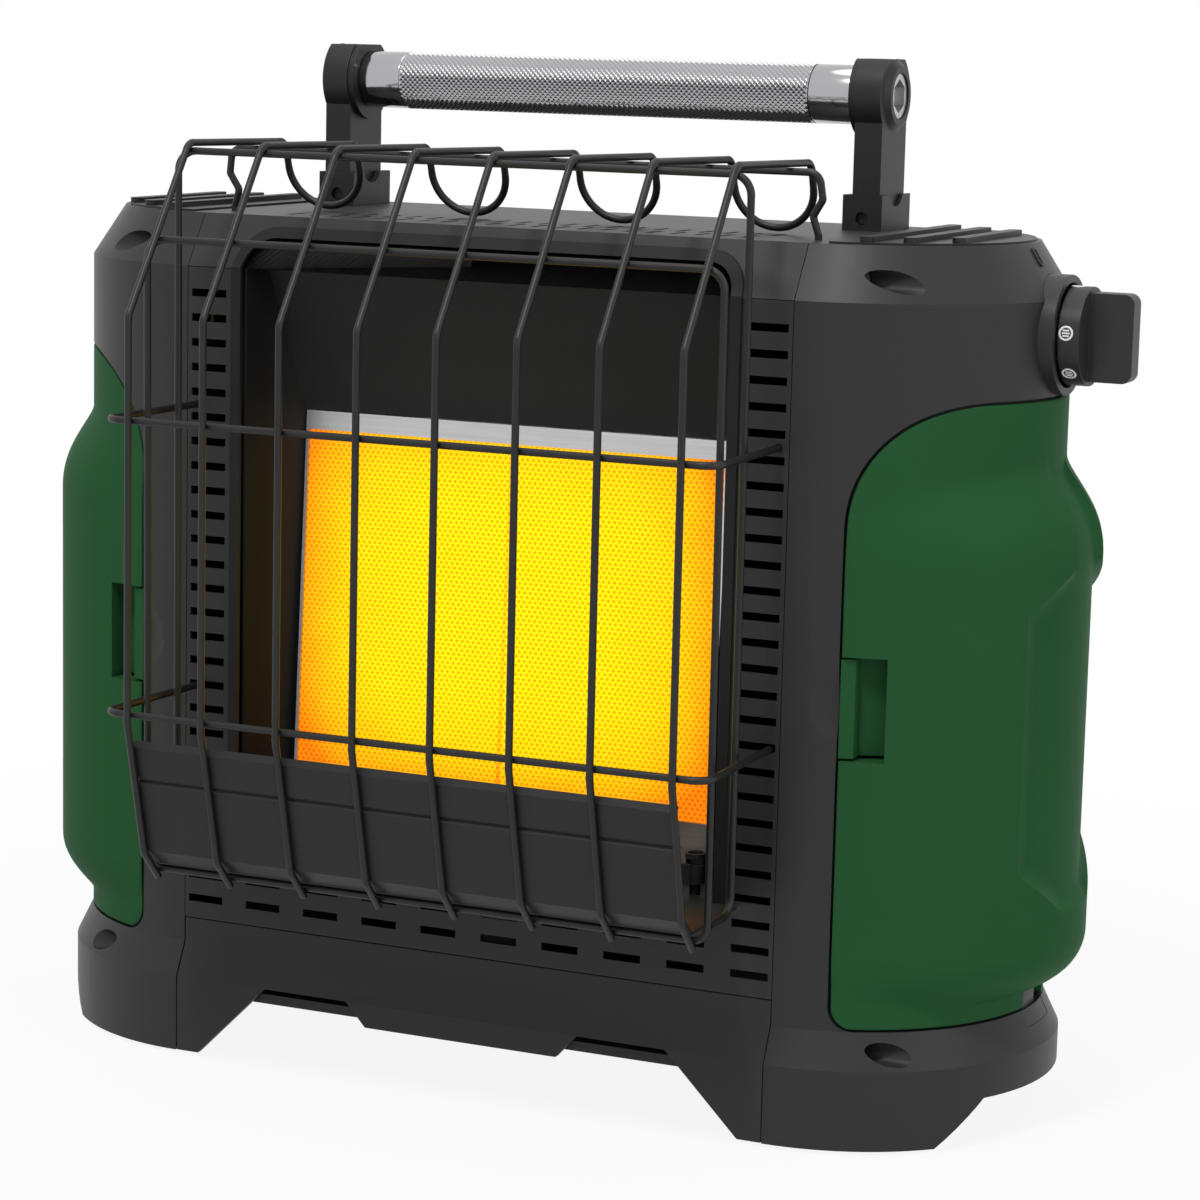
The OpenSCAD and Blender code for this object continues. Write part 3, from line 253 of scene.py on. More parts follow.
def brushed_steel():
    """Steel with fine lines along X."""
    made = Finish("brushed steel", grey(0.62), 0.34, metallic=1.0)
    lines = made.noise(BRUSH_LINES, 3.0, BRUSH_STRETCH)
    cloud = made.noise(BRUSH_CLOUDS)
    made.set(
        Base_Color=made.tint(lines, grey(0.50), (0.70, 0.70, 0.71)),
        Roughness=0.26 + lines * 0.14 + cloud * 0.06)
    made.bump(lines, BRUSH_DEEP * MM)
    return made


def polished_chrome():
    """Bright plate with a faint haze."""
    made = Finish("polished chrome", (0.42, 0.42, 0.43), 0.10, metallic=1.0)
    made.set(Roughness=0.08 + made.noise(CHROME_HAZE, 3.0) * 0.08)
    return made


def machined_brass():
    """Brass with fine tool marks."""
    made = Finish("machined brass", (0.60, 0.42, 0.18), 0.35, metallic=1.0)
    made.set(Roughness=0.28 + made.noise(TOOL_MARKS) * 0.15)
    return made


def zinc_plate():
    """Dull plate, mottled."""
    made = Finish("zinc plate", (0.55, 0.55, 0.56), 0.40, metallic=1.0)
    spangle = made.noise(SPANGLES, 3.0)
    made.set(
        Base_Color=made.tint(spangle, (0.42, 0.42, 0.43), grey(0.60)),
        Roughness=0.30 + spangle * 0.2)
    return made


# The burner's two tiles: half their width together, and the middle and reach of their height.
TILES_HALF, TILES_MID_Z, TILES_TALL = 92.6, 197.0, 74.0
JOINT_FROM, JOINT_TO, JOINT_COOL = 0.2, 1.4, 0.35
# How the tiles cool off the middle: the powers of the way across and up, and their shares.
ACROSS_POWER, ACROSS_COOL, UP_POWER, UP_COOL, SLOW_COOL = 4.5, 0.66, 4.0, 0.62, 0.10
# Hotter and cooler patches, and how many there are to a metre.
PATCHY_COOL, TILE_PATCHES = 0.30, 45.0
# Rows of small holes: their spacing, and where a hole's dark ends and the plain tile starts.
HOLE_ROW, HOLE_STEP, HOLE_IN, HOLE_OUT, HOLE_DEEP = 1.85, 2.46, 0.42, 0.80, 0.4
TILE_SHADE, HOLE_SHADE, HOLE_GLOW = (0.30, 0.09, 0.006), (0.12, 0.03, 0.003), (0.95, 0.52, 0.30)
# The glow's colours, from the hottest to the coolest.
HEAT = [
    (0.0, (1.0, 0.92, 0.004)), (0.25, (1.0, 0.79, 0.004)), (0.6, (1.0, 0.52, 0.004)),
    (0.85, (0.97, 0.33, 0.003)), (1.0, (0.92, 0.24, 0.003))]


def glowing_ceramic():
    """Porous ceramic at work: yellow in the middle, orange round its edges, full of holes."""
    made = Finish("glowing ceramic", TILE_SHADE, 0.85, Specular_IOR_Level=0.05)
    x, y, z = made.axes()
    # The pair is hottest round its middle, and a thin joint shows between the two.
    across = abs(x - DRAWING_X)
    off_x = across / TILES_HALF
    off_z = abs(z - TILES_MID_Z) / TILES_TALL
    joint = (1.0 - across.step(JOINT_FROM, JOINT_TO)) * JOINT_COOL
    edges = off_x.power(ACROSS_POWER) * ACROSS_COOL + off_z.power(UP_POWER) * UP_COOL
    cool = edges + off_x * off_x * SLOW_COOL + joint
    patches = (made.noise(TILE_PATCHES, 3.0) - 0.5) * PATCHY_COOL
    glow = made.node("ValToRGB", {"stops": HEAT}, cool + patches)
    # Every second row of holes is shifted by half a step.
    row = z / HOLE_ROW
    shift = row.floor().wrap(0.0, 2.0) * 0.5
    u = (x / HOLE_STEP + shift).wrap(0.0, 1.0) - 0.5
    v = row.wrap(0.0, 1.0) - 0.5
    away = ((u * u) * (HOLE_STEP * HOLE_STEP) + (v * v) * (HOLE_ROW * HOLE_ROW)).root()
    hole = 1.0 - away.step(HOLE_IN, HOLE_OUT)
    dim = made.tint(hole, grey(1.0), HOLE_GLOW)
    made.set(
        Base_Color=made.tint(hole, TILE_SHADE, HOLE_SHADE),
        Emission_Color=made.node("VectorMath", {"operation": "MULTIPLY"}, glow, dim),
        Emission_Strength=1.0)
    made.bump(1.0 - hole, HOLE_DEEP * MM)
    return made


FINISHES = {name: grained(*coat) for name, coat in COATS.items()}
# The recess's cheeks get painted shade.
paint_cheek_shade(FINISHES["sheet"])
FINISHES.update({
    "steel": brushed_steel(), "chrome": polished_chrome(), "brass": machined_brass(),
    "zinc": zinc_plate(), "glow": glowing_ceramic()})

NODES_WITH = {
    "panel": ["front_panel", "top_cover", "rear_cover"],
    "charcoal": [
        "base_skirt", "left_end_housing", "right_end_housing", "knob_collar", "control_knob"],
    "black": [
        "left_top_pad", "right_top_pad", "left_handle_bracket", "right_handle_bracket",
        "left_handle_arm", "right_handle_arm", "base_pan", "tip_over_switch", "spark_module",
        "left_regulator", "right_regulator"],
    "green": ["left_door", "right_door", "left_door_latch", "right_door_latch"],
    "rubber": ["rubber_feet"],
    "trim": ["recess_trim"],
    "sheet": ["reflector_hood", "pilot_burner", "left_bay_wall", "right_bay_wall"],
    "shield": ["heat_deflector"],
    "wire": [
        "guard_wires", "guard_middle_frame", "guard_rear_frame", "guard_top_rail",
        "guard_upper_rail", "guard_lower_rail"],
    "steel": ["burner_frame", "burner_plenum", "mixing_tube"],
    "zinc": [
        "housing_screws", "valve_stem", "knob_spring", "left_hinge_pins", "right_hinge_pins",
        "handle_pivot_pins", "handle_bolts", "thermocouple"],
    "chrome": ["handle_grip"],
    "brass": ["orifice_holder", "gas_valve", "burner_pipe", "pilot_pipe", "supply_pipe"],
    "porcelain": ["igniter_electrode"],
    "glow": ["left_burner_tile", "right_burner_tile"],
}
FINISH_OF = {node: finish_name for finish_name, nodes in NODES_WITH.items() for node in nodes}


def coat(piece, finish_name):
    """Gives a piece one finish and no other."""
    piece.data.materials.clear()
    piece.data.materials.append(FINISHES[finish_name].material)


for node_name, finish_name in FINISH_OF.items():
    coat(NODES[node_name], finish_name)

# ---------------------------------------------------------------- modelling helpers


def added(kind, **settings):
    """A new primitive, alone selected."""
    bpy.ops.object.select_all(action="DESELECT")
    getattr(bpy.ops.mesh, f"primitive_{kind}_add")(**settings)
    return bpy.context.object


def alone(piece):
    """Selects one object only and makes it the active one."""
    bpy.ops.object.select_all(action="DESELECT")
    piece.select_set(True)
    bpy.context.view_layer.objects.active = piece


def edit(piece, action="SELECT", mode="VERT"):
    """Opens an object in edit mode with all or nothing selected."""
    alone(piece)
    bpy.ops.object.mode_set(mode="EDIT")
    bpy.ops.mesh.select_mode(type=mode)
    bpy.ops.mesh.select_all(action=action)


def done():
    bpy.ops.object.mode_set(mode="OBJECT")


def pick(piece, mode, wanted):
    """Opens an object in edit mode with those edges or faces selected that pass a test."""
    edit(piece, "DESELECT", mode)
    done()
    for part in piece.data.edges if mode == "EDGE" else piece.data.polygons:
        part.select = wanted(part)
    bpy.ops.object.mode_set(mode="EDIT")


def modify(piece, kind, **settings):
    """Adds a modifier with its settings and applies it."""
    alone(piece)
    modifier = piece.modifiers.new(kind.lower(), kind)
    for key, value in settings.items():
        setattr(modifier, key, value)
    bpy.ops.object.modifier_apply(modifier=modifier.name)


def round_edges(piece, width, segments, angle=30.0, **settings):
    """Rounds the edges at which faces meet at more than some angle, in degrees."""
    modify(piece, "BEVEL", width=width * MM, segments=segments, limit_method="ANGLE",
           angle_limit=math.radians(angle), **settings)


def crisp(piece, degrees=32.0):
    """Smooth shading, broken where faces meet at more than some angle."""
    alone(piece)
    bpy.ops.object.shade_smooth_by_angle(angle=math.radians(degrees))


def outward(piece):
    """Turns all faces outwards."""
    edit(piece)
    bpy.ops.mesh.normals_make_consistent(inside=False)
    done()


def settle(piece):
    """Puts an object's place into its mesh."""
    alone(piece)
    bpy.ops.object.transform_apply(location=True, rotation=True, scale=True)


def slab(size, place=(0.0, 0.0, 0.0)):
    """A block of some size in millimetres, for further work."""
    made = added("cube", size=1.0, location=place)
    made.scale = [length * MM for length in size]
    settle(made)
    return made


def merge(pieces, name):
    """Joins several objects to one."""
    bpy.ops.object.select_all(action="DESELECT")
    for piece in pieces:
        piece.select_set(True)
    bpy.context.view_layer.objects.active = pieces[0]
    bpy.ops.object.join()
    pieces[0].name = name
    return pieces[0]


def left_copy(piece):
    """The same shape for the heater's left end."""
    alone(piece)
    bpy.ops.object.duplicate()
    twin = bpy.context.object
    twin.name = piece.name.replace("right_", "left_")
    edit(twin)
    bpy.ops.transform.translate(value=(-DRAWING_X * MM, 0.0, 0.0))
    bpy.ops.transform.resize(value=(-1.0, 1.0, 1.0), center_override=(0.0, 0.0, 0.0))
    bpy.ops.transform.translate(value=(DRAWING_X * MM, 0.0, 0.0))
    bpy.ops.mesh.flip_normals()
    done()
    return twin


def finish(piece, node_name, finish_name, replaces=False):
    """Gives a piece its finish. It moves and counts with a node, and may take its place."""
    coat(piece, finish_name)
    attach(piece, BODY_OF[node_name])
    if replaces:
        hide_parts(node_name)


# ---------------------------------------------------------------- doors

# The housing's round end: the axis and the radius.
SEAM_X, MID_Y, END_R = 132.0, 81.0, 81.0
# The door: its front, lower and upper edges, and the radii of its upper and lower corners.
DOOR_X, DOOR_LOW, DOOR_TOP, DOOR_CORNER, DOOR_FOOT = 154.8, 47.8, 290.6, 47.2, 8.7
# Its wall, and the radius of its face's rounded edge.
DOOR_WALL, DOOR_LIP_R = 2.8, 1.0
# The bulge: its axis and radius, its fillet, and where and how far it rounds in at its ends.
BULGE_X, BULGE_R, BULGE_FILLET = 156.0, 74.0, 11.0
BULGE_HIGH, BULGE_TOP_R, BULGE_LOW, BULGE_FOOT_R = 228.0, 40.0, 76.0, 20.0
# Past its rounded ends the bulge dives this steeply under the housing's shape.
DIVE = 4.0
# The latch's pocket, and the slits above and below its floor.
POCKET_X, POCKET_LOW, POCKET_HIGH, POCKET_DEEP = 172.0, 154.0, 194.4, 5.5
SLIT_DEEP, LOW_SLIT, HIGH_SLIT = 7.0, 1.3, 0.9
# The hose notch in the lower edge.
NOTCH_X, NOTCH_HALF, NOTCH_Z = 170.0, 12.5, 55.0
# The sunk panel: half width and height range where it is wide, and at its narrow ends.
PANEL_HALF, PANEL_LOW, PANEL_HIGH = 44.7, 109.0, 211.0
PANEL_END_HALF, PANEL_END_LOW, PANEL_END_HIGH = 17.2, 90.0, 227.0
PANEL_COVE, PANEL_DEEP = 9.0, 4.0
# The channel that runs up over the bulge from the panel.
CHANNEL_LOW, CHANNEL_COVE, CHANNEL_DEEP = 205.0, 5.0, 3.4
CHANNEL_TAPER, CHANNEL_TAPERED = 0.07, 40.0
# The mesh: spacing of its rows, extra rows and columns beside an edge, and the width of a wall
# that stands square to the door.
ROW_STEP, BESIDE_EDGE, WALL_STEP = 1.75, (0.1, 0.3, 0.6, 1.0), 0.06
COLUMNS_TO_POCKET, COLUMNS_TO_CREASE, COLUMNS_BETWEEN = 10, 26, 44
# Rows also run this far under the bulge's lower end and under the door's top.
UNDER_BULGE, UNDER_TOP = 8.0, 2.0
# The pocket's column stays at least this share of the way from the door's edge to the crease.
LEAST_POCKET_SHARE = 0.22
# The search for an angle: how many degrees of the door's front half it covers, and its steps.
FRONT_REACH, HALVINGS = 100.0, 40


def base_radius(angle, shell=END_R):
    """From the bulge's axis out to the housing's round end."""
    off = BULGE_X - SEAM_X
    return -off * math.cos(angle) + math.sqrt(shell ** 2 - (off * math.sin(angle)) ** 2)


def bulge_radius(z, sunk):
    """From the bulge's axis out to the bulge, sunk by some depth."""
    for beyond, end_r in ((z - BULGE_HIGH, BULGE_TOP_R), (BULGE_LOW - z, BULGE_FOOT_R)):
        if beyond > 0.0:
            left = (end_r - sunk) ** 2 - beyond ** 2
            neck = BULGE_R - end_r
            return neck + math.sqrt(left) if left > 0.0 else neck - (beyond - end_r + sunk) * DIVE
    return BULGE_R - sunk


def soft_most(a, b, width):
    """The larger of two lengths, with a fillet between them."""
    near = max(width - abs(a - b), 0.0) / width
    return max(a, b) + near * near * width / 4.0


def channel_half(z):
    """Half width of the channel, which tapers a little on its way up."""
    return PANEL_END_HALF - CHANNEL_TAPER * min(max(z - PANEL_END_HIGH, 0.0), CHANNEL_TAPERED)


def crease_half(z):
    """Half width, along the bulge, of the sunk panel or of the channel above it."""
    narrowing = PANEL_END_HALF - PANEL_HALF
    if z > PANEL_END_HIGH:
        return channel_half(z)
    if z > PANEL_HIGH:
        return PANEL_HALF + narrowing * (z - PANEL_HIGH) / (PANEL_END_HIGH - PANEL_HIGH)
    if z < PANEL_END_LOW:
        return PANEL_END_HALF
    if z < PANEL_LOW:
        return PANEL_HALF + narrowing * (PANEL_LOW - z) / (PANEL_LOW - PANEL_END_LOW)
    return PANEL_HALF


def cove(inside, width, depth):
    """Depth of a sunk field: steep at its edge, then easing into its floor."""
    t = min(max(inside / width, 0.0), 1.0)
    return depth * (1.0 - (1.0 - t) ** 2)


def sunk_depth(along, z):
    """Depth of the panel and of the channel above it. Along is the way round the bulge."""
    inside = PANEL_HALF - abs(along)
    edges = [inside, z - PANEL_END_LOW, PANEL_END_HIGH - z]
    # The slanted edges between the panel's full width and its narrow ends.
    run = PANEL_HALF - PANEL_END_HALF
    above = PANEL_END_HIGH - PANEL_HIGH, z - PANEL_HIGH
    below = PANEL_LOW - PANEL_END_LOW, PANEL_LOW - z
    for rise, beyond in (above, below):
        edges.append((inside * rise - beyond * run) / math.hypot(run, rise))
    depth = cove(min(edges), PANEL_COVE, PANEL_DEEP)
    if z > CHANNEL_LOW:
        depth = max(depth, cove(channel_half(z) - abs(along), CHANNEL_COVE, CHANNEL_DEEP))
    return depth


def door_radius(angle, z):
    """From the bulge's axis out to the door's face."""
    bulge = bulge_radius(z, sunk_depth(angle * BULGE_R, z))
    return soft_most(base_radius(angle), bulge, BULGE_FILLET)


def angle_at(x, z):
    """The angle round the bulge's axis at which the door's front half reaches x."""
    low, high = -math.radians(FRONT_REACH), 0.0
    for _ in range(HALVINGS):
        middle = (low + high) / 2.0
        if BULGE_X + door_radius(middle, z) * math.cos(middle) < x:
            low = middle
        else:
            high = middle
    return (low + high) / 2.0


def door_edge(z):
    """The x of a door's edge at some height, with its rounded corners."""
    if z > DOOR_TOP - DOOR_CORNER:
        up = z - (DOOR_TOP - DOOR_CORNER)
        return DOOR_X + DOOR_CORNER - math.sqrt(max(DOOR_CORNER ** 2 - up ** 2, 0.0))
    if z < DOOR_LOW + DOOR_FOOT:
        down = DOOR_LOW + DOOR_FOOT - z
        return DOOR_X + DOOR_FOOT - math.sqrt(max(DOOR_FOOT ** 2 - down ** 2, 0.0))
    return DOOR_X


def door_rows():
    """Heights of the mesh rows. A row runs along each crease, edge and wall."""
    marks = [
        DOOR_LOW, NOTCH_Z, BULGE_LOW - UNDER_BULGE, PANEL_END_LOW, PANEL_LOW, POCKET_LOW,
        POCKET_HIGH, PANEL_HIGH, PANEL_END_HIGH, DOOR_TOP - UNDER_TOP, DOOR_TOP]
    rows = set(marks)
    for start, end in zip(marks, marks[1:]):
        count = max(1, round((end - start) / ROW_STEP))
        rows.update(start + (end - start) * i / count for i in range(1, count))
    rows.update(DOOR_LOW + near for near in BESIDE_EDGE)
    rows.update(DOOR_TOP - near for near in BESIDE_EDGE)
    rows.update([POCKET_LOW - WALL_STEP, POCKET_HIGH + WALL_STEP])
    for wall in (0.0, WALL_STEP):
        rows.update([POCKET_LOW + LOW_SLIT + wall, POCKET_HIGH - HIGH_SLIT - wall])
    return sorted(rows)


def door_columns(z, pocket_angle):
    """Angles of the mesh columns in one row. A column runs along each crease."""
    front = angle_at(door_edge(z), z)
    crease = crease_half(z) / BULGE_R
    pocket = max(pocket_angle, front + LEAST_POCKET_SHARE * (-crease - front))

    def span(start, end, count):
        return [start + (end - start) * i / count for i in range(count + 1)]

    half = [front, *(front + near / BULGE_R for near in BESIDE_EDGE)]
    half += span(half[-1], pocket - WALL_STEP / BULGE_R, COLUMNS_TO_POCKET)[1:]
    half += span(pocket, -crease, COLUMNS_TO_CREASE)
    between = [
        -crease + (crease * (1.0 - math.cos(math.pi * i / COLUMNS_BETWEEN)))
        for i in range(1, COLUMNS_BETWEEN)]
    return half + between + [-angle for angle in reversed(half)]


def edge_drop(distance):
    """How far the door's face drops towards its rounded edge."""
    if distance >= DOOR_LIP_R:
        return 0.0
    return DOOR_LIP_R - math.sqrt(max(DOOR_LIP_R ** 2 - (DOOR_LIP_R - distance) ** 2, 0.0))


def right_door_shell():
    """The right door: a rounded shell whose bulge has a sunk panel, with its latch's pocket."""
    rows = door_rows()
    pocket_angle = angle_at(POCKET_X, (POCKET_LOW + POCKET_HIGH) / 2.0)
    table = [door_columns(z, pocket_angle) for z in rows]
    across, up = len(table[0]) - 1, len(rows) - 1
    half_wall = WALL_STEP / 2.0
    door = added("grid", x_subdivisions=across, y_subdivisions=up, size=1.0)
    for vertex in door.data.vertices:
        row = round((vertex.co.y + 0.5) * up)
        z, angles = rows[row], table[row]
        angle = angles[round((vertex.co.x + 0.5) * across)]
        if POCKET_LOW <= z <= POCKET_HIGH and angle <= pocket_angle - half_wall / BULGE_R:
            above, below = z - POCKET_LOW, POCKET_HIGH - z
            slit = above < LOW_SLIT + half_wall or below < HIGH_SLIT + half_wall
            radius = base_radius(angle, END_R - POCKET_DEEP) - (SLIT_DEEP if slit else 0.0)
        else:
            beside = min(angle - angles[0], angles[-1] - angle) * BULGE_R
            radius = door_radius(angle, z) - edge_drop(min(beside, z - DOOR_LOW, DOOR_TOP - z))
        x, y = BULGE_X + radius * math.cos(angle), MID_Y + radius * math.sin(angle)
        vertex.co = at(x, y, z)

    def in_notch(face):
        x, y, z = face.center / MM
        off = abs(y - DRAWING_Y - MID_Y)
        return z < NOTCH_Z and off < NOTCH_HALF and x - DRAWING_X > NOTCH_X

    pick(door, "FACE", in_notch)
    bpy.ops.mesh.delete(type="FACE")
    done()
    outward(door)
    modify(door, "SOLIDIFY", thickness=DOOR_WALL * MM, offset=-1.0, use_rim=True)
    door.name = "right_door_moulding"
    return door


# The hinge: its pin's place, the knuckles' radius, length and lower ends, and their leaves.
PIN_X, PIN_Y, KNUCKLE_R, KNUCKLE_LONG, KNUCKLES_Z = 150.5, 160.5, 4.0, 14.0, (80.0, 213.0)
LEAF_X, LEAF_Y, LEAF_WIDE, LEAF_THICK = 154.5, 159.9, 8.0, 4.0


def hinge_knuckle(low):
    """One knuckle of the right door, with the leaf that joins it to the door."""
    middle = low + KNUCKLE_LONG / 2.0
    barrel = added("cylinder", vertices=40, radius=KNUCKLE_R * MM, depth=KNUCKLE_LONG * MM,
                   location=at(PIN_X, PIN_Y, middle))
    settle(barrel)
    leaf = slab((LEAF_WIDE, LEAF_THICK, KNUCKLE_LONG), at(LEAF_X, LEAF_Y, middle))
    for piece in (barrel, leaf):
        round_edges(piece, width=0.4, segments=2, angle=40.0)
    return merge([barrel, leaf], "hinge_knuckle")


def doors():
    """Both doors and their hinge knuckles."""
    door = right_door_shell()
    knuckles = merge([hinge_knuckle(low) for low in KNUCKLES_Z], "right_door_knuckles")
    for piece in (door, knuckles):
        finish(piece, "right_door", "green", piece is door)
        crisp(piece)
    for piece in (door, knuckles):
        left = left_copy(piece)
        finish(left, "left_door", "green", piece is door)
        crisp(left)


# ---------------------------------------------------------------- hose notches

# The filler: lower and upper face, half width and inner face.
FILLER_LOW, FILLER_HIGH, FILLER_HALF, FILLER_X = 40.7, 46.9, 12.3, 206.2
# The flare under the doors: where it starts, its run, its rise, and how far the filler is inside.
FLARE_HIGH, FLARE_RUN, FLARE_RISE, FLARE_INSIDE = 47.0, 6.8, 14.0, 0.15
GROMMET_AT, GROMMET_SIZE = (210.1, 79.0, 50.6), (2.4, 15.0, 8.6)


def hose_notches():
    """Fillers flush with the flares under the doors, and the grey block that stands on each."""
    filler = added("cube", size=1.0)
    edit(filler)
    bpy.ops.mesh.subdivide(number_cuts=7)
    done()
    for vertex in filler.data.vertices:
        y = MID_Y + 2.0 * FILLER_HALF * vertex.co.y
        z = FILLER_LOW + (FILLER_HIGH - FILLER_LOW) * (vertex.co.z + 0.5)
        flare = END_R + FLARE_RUN * (FLARE_HIGH - z) / FLARE_RISE - FLARE_INSIDE
        outer = SEAM_X + math.sqrt(flare ** 2 - (y - MID_Y) ** 2)
        vertex.co = at(FILLER_X + (outer - FILLER_X) * (vertex.co.x + 0.5), y, z)
    outward(filler)
    crisp(filler, 30.0)
    filler.name = "right_notch_filler"
    finish(filler, "right_end_housing", "charcoal")
    block = slab(GROMMET_SIZE, at(*GROMMET_AT))
    round_edges(block, width=0.8, segments=3)
    crisp(block, 40.0)
    block.name = "right_hose_grommet"
    finish(block, "rubber_feet", "grommet")
    finish(left_copy(filler), "left_end_housing", "charcoal")
    finish(left_copy(block), "rubber_feet", "grommet")


# ---------------------------------------------------------------- handle grip

GRIP_Y, GRIP_Z, GRIP_R, GRIP_HALF = 119.8, 403.8, 12.0, 112.4
KNURL_HALF, KNURL_DEEP, KNURL_AROUND, KNURL_ALONG = 93.0, 0.60, 68, 162


def chrome_grip():
    """The handle's tube: diamonds knurled round its middle, plain ends."""
    knurl = added("grid", x_subdivisions=KNURL_ALONG, y_subdivisions=KNURL_AROUND, size=1.0)
    for vertex in knurl.data.vertices:
        i = round((vertex.co.x + 0.5) * KNURL_ALONG)
        j = round((vertex.co.y + 0.5) * KNURL_AROUND)
        valley = (i + j) % 2 and 0 < i < KNURL_ALONG
        radius = GRIP_R - (KNURL_DEEP if valley else 0.0)
        turn = math.tau * j / KNURL_AROUND
        x = KNURL_HALF * (2.0 * i / KNURL_ALONG - 1.0)
        vertex.co = at(x, GRIP_Y + radius * math.cos(turn), GRIP_Z + radius * math.sin(turn))

    def even(cell):
        return (cell.index % KNURL_ALONG + cell.index // KNURL_ALONG) % 2 == 0

    def uncut(cell):
        return len(cell.vertices) == 4

    # Each cell is cut from valley to valley, so that the ridges stay whole.
    for cells, method in ((even, "FIXED"), (uncut, "FIXED_ALTERNATE")):
        pick(knurl, "FACE", cells)
        bpy.ops.mesh.quads_convert_to_tris(quad_method=method, ngon_method="BEAUTY")
        done()
    edit(knurl)
    bpy.ops.mesh.remove_doubles(threshold=0.01 * MM)
    done()
    outward(knurl)
    ends = []
    for side in (-1.0, 1.0):
        middle_x = side * (GRIP_HALF + KNURL_HALF) / 2.0
        end = added("cylinder", vertices=KNURL_AROUND, radius=GRIP_R * MM,
                    depth=(GRIP_HALF - KNURL_HALF) * MM, location=at(middle_x, GRIP_Y, GRIP_Z),
                    rotation=(0.0, math.pi / 2.0, 0.0))
        settle(end)
        round_edges(end, width=0.7, segments=3, angle=60.0)
        crisp(end, 35.0)
        ends.append(end)
    finish(knurl, "handle_grip", "chrome", True)
    knurl.name = "grip_knurl"
    for end, name in zip(ends, ("grip_left_end", "grip_right_end")):
        end.name = name
        finish(end, "handle_grip", "chrome")


# ---------------------------------------------------------------- dial signs

KNOB_Z, KNOB_R = 315.0, 19.3
RING_R, LINE_R, SIGN_FLAT = 2.5, 0.4, 0.4
BAR_THICK, BAR_HIGH = 0.62, 0.4
# The bars' places across the ring and their half lengths.
BARS = ((-1.05, 1.25), (0.0, 1.6), (1.05, 1.25))
# The signs' places along the knob, and their angles round it, up from the front.
DIAL_SIGNS = {
    "dial_sign_front": (219.5, 7.0),
    "dial_sign_low": (219.9, -45.0),
    "dial_sign_top": (218.3, 90.0),
}


def dial_sign(name, middle_x, degrees):
    """A ring with three bars, a heat setting, laid on the rim of the knob's dial."""
    parts = [added("torus", major_radius=RING_R * MM, minor_radius=LINE_R * MM,
                   major_segments=48, minor_segments=8)]
    for row, half in BARS:
        bar = slab((2.0 * half, BAR_THICK, BAR_HIGH), (0.0, row * MM, 0.0))
        round_edges(bar, width=0.06, segments=1)
        parts.append(bar)
    sign = merge(parts, name)
    edit(sign)
    bpy.ops.transform.resize(value=(1.0, 1.0, SIGN_FLAT), center_override=(0.0, 0.0, 0.0))
    done()
    for vertex in sign.data.vertices:
        x, across, up = vertex.co / MM
        angle = math.radians(degrees) + across / KNOB_R
        radius = KNOB_R + up
        y, z = MID_Y - radius * math.cos(angle), KNOB_Z + radius * math.sin(angle)
        vertex.co = at(middle_x + x, y, z)
    outward(sign)
    crisp(sign, 40.0)
    finish(sign, "control_knob", "print")


# ---------------------------------------------------------------- slots on the shoulders

# The housing's sloping shoulder: where it starts, and its run and rise.
SHOULDER_Z, SHOULDER_RUN, SHOULDER_RISE = 329.0, 13.5, 21.0
# The slot: its turn from the end, its height, the size of its rim, and its hollow.
SLOT_TURN, SLOT_Z, SLOT_SIZE, SLOT_CORNER = -4.4, 344.8, (8.4, 3.4, 1.4), 1.65
SLOT_RIM, SLOT_DEEP = 0.8, 1.2


def shoulder_slots():
    """A small slot with a raised rim, near the end of each shoulder."""
    turn = math.radians(SLOT_TURN)
    reach = END_R - SHOULDER_RUN * (SLOT_Z - SHOULDER_Z) / SHOULDER_RISE
    slope = math.hypot(SHOULDER_RUN, SHOULDER_RISE)
    run, rise = SHOULDER_RUN / slope, SHOULDER_RISE / slope
    outwards = Vector((math.cos(turn), math.sin(turn), 0.0))
    normal = outwards * rise + Vector((0.0, 0.0, run))
    down = outwards * run - Vector((0.0, 0.0, rise))
    rim = slab(SLOT_SIZE)

    def upright(edge):
        a, b = (rim.data.vertices[i].co for i in edge.vertices)
        return abs(a.z - b.z) > 0.1 * MM

    pick(rim, "EDGE", upright)
    bpy.ops.mesh.bevel(offset=SLOT_CORNER * MM, segments=6)
    done()
    pick(rim, "FACE", lambda face: face.normal.z > 0.9)
    bpy.ops.mesh.inset(thickness=SLOT_RIM * MM)
    bpy.ops.mesh.extrude_region_move(
        TRANSFORM_OT_translate={"value": (0.0, 0.0, -SLOT_DEEP * MM)})
    done()
    round_edges(rim, width=0.22, segments=2, angle=50.0)
    seat = Matrix((down, normal.cross(down), normal)).transposed().to_4x4()
    seat.translation = at(SEAM_X + reach * outwards.x, MID_Y + reach * outwards.y, SLOT_Z)
    rim.matrix_world = seat
    settle(rim)
    outward(rim)
    crisp(rim, 30.0)
    rim.name = "right_shoulder_slot"
    finish(rim, "right_end_housing", "charcoal")
    finish(left_copy(rim), "left_end_housing", "charcoal")


# ---------------------------------------------------------------- rounded copies of the shells

# The radius of the moulded, cast or folded edges of each node, in millimetres.
EDGE_RADII = {
    "left_end_housing": 0.7, "right_end_housing": 0.7, "base_skirt": 0.6, "knob_collar": 0.6,
    "control_knob": 1.5, "left_handle_arm": 0.6, "right_handle_arm": 0.6,
    "left_handle_bracket": 0.5, "right_handle_bracket": 0.5, "left_top_pad": 0.9,
    "right_top_pad": 0.9, "left_door_latch": 0.4, "right_door_latch": 0.4,
    "heat_deflector": 0.4, "reflector_hood": 0.4, "rubber_feet": 0.3,
}
# Edges sharper than this are rounded. The housings' flares meet their walls at a flat angle.
SHARP, SHARP_HOUSING = 38.0, 22.0


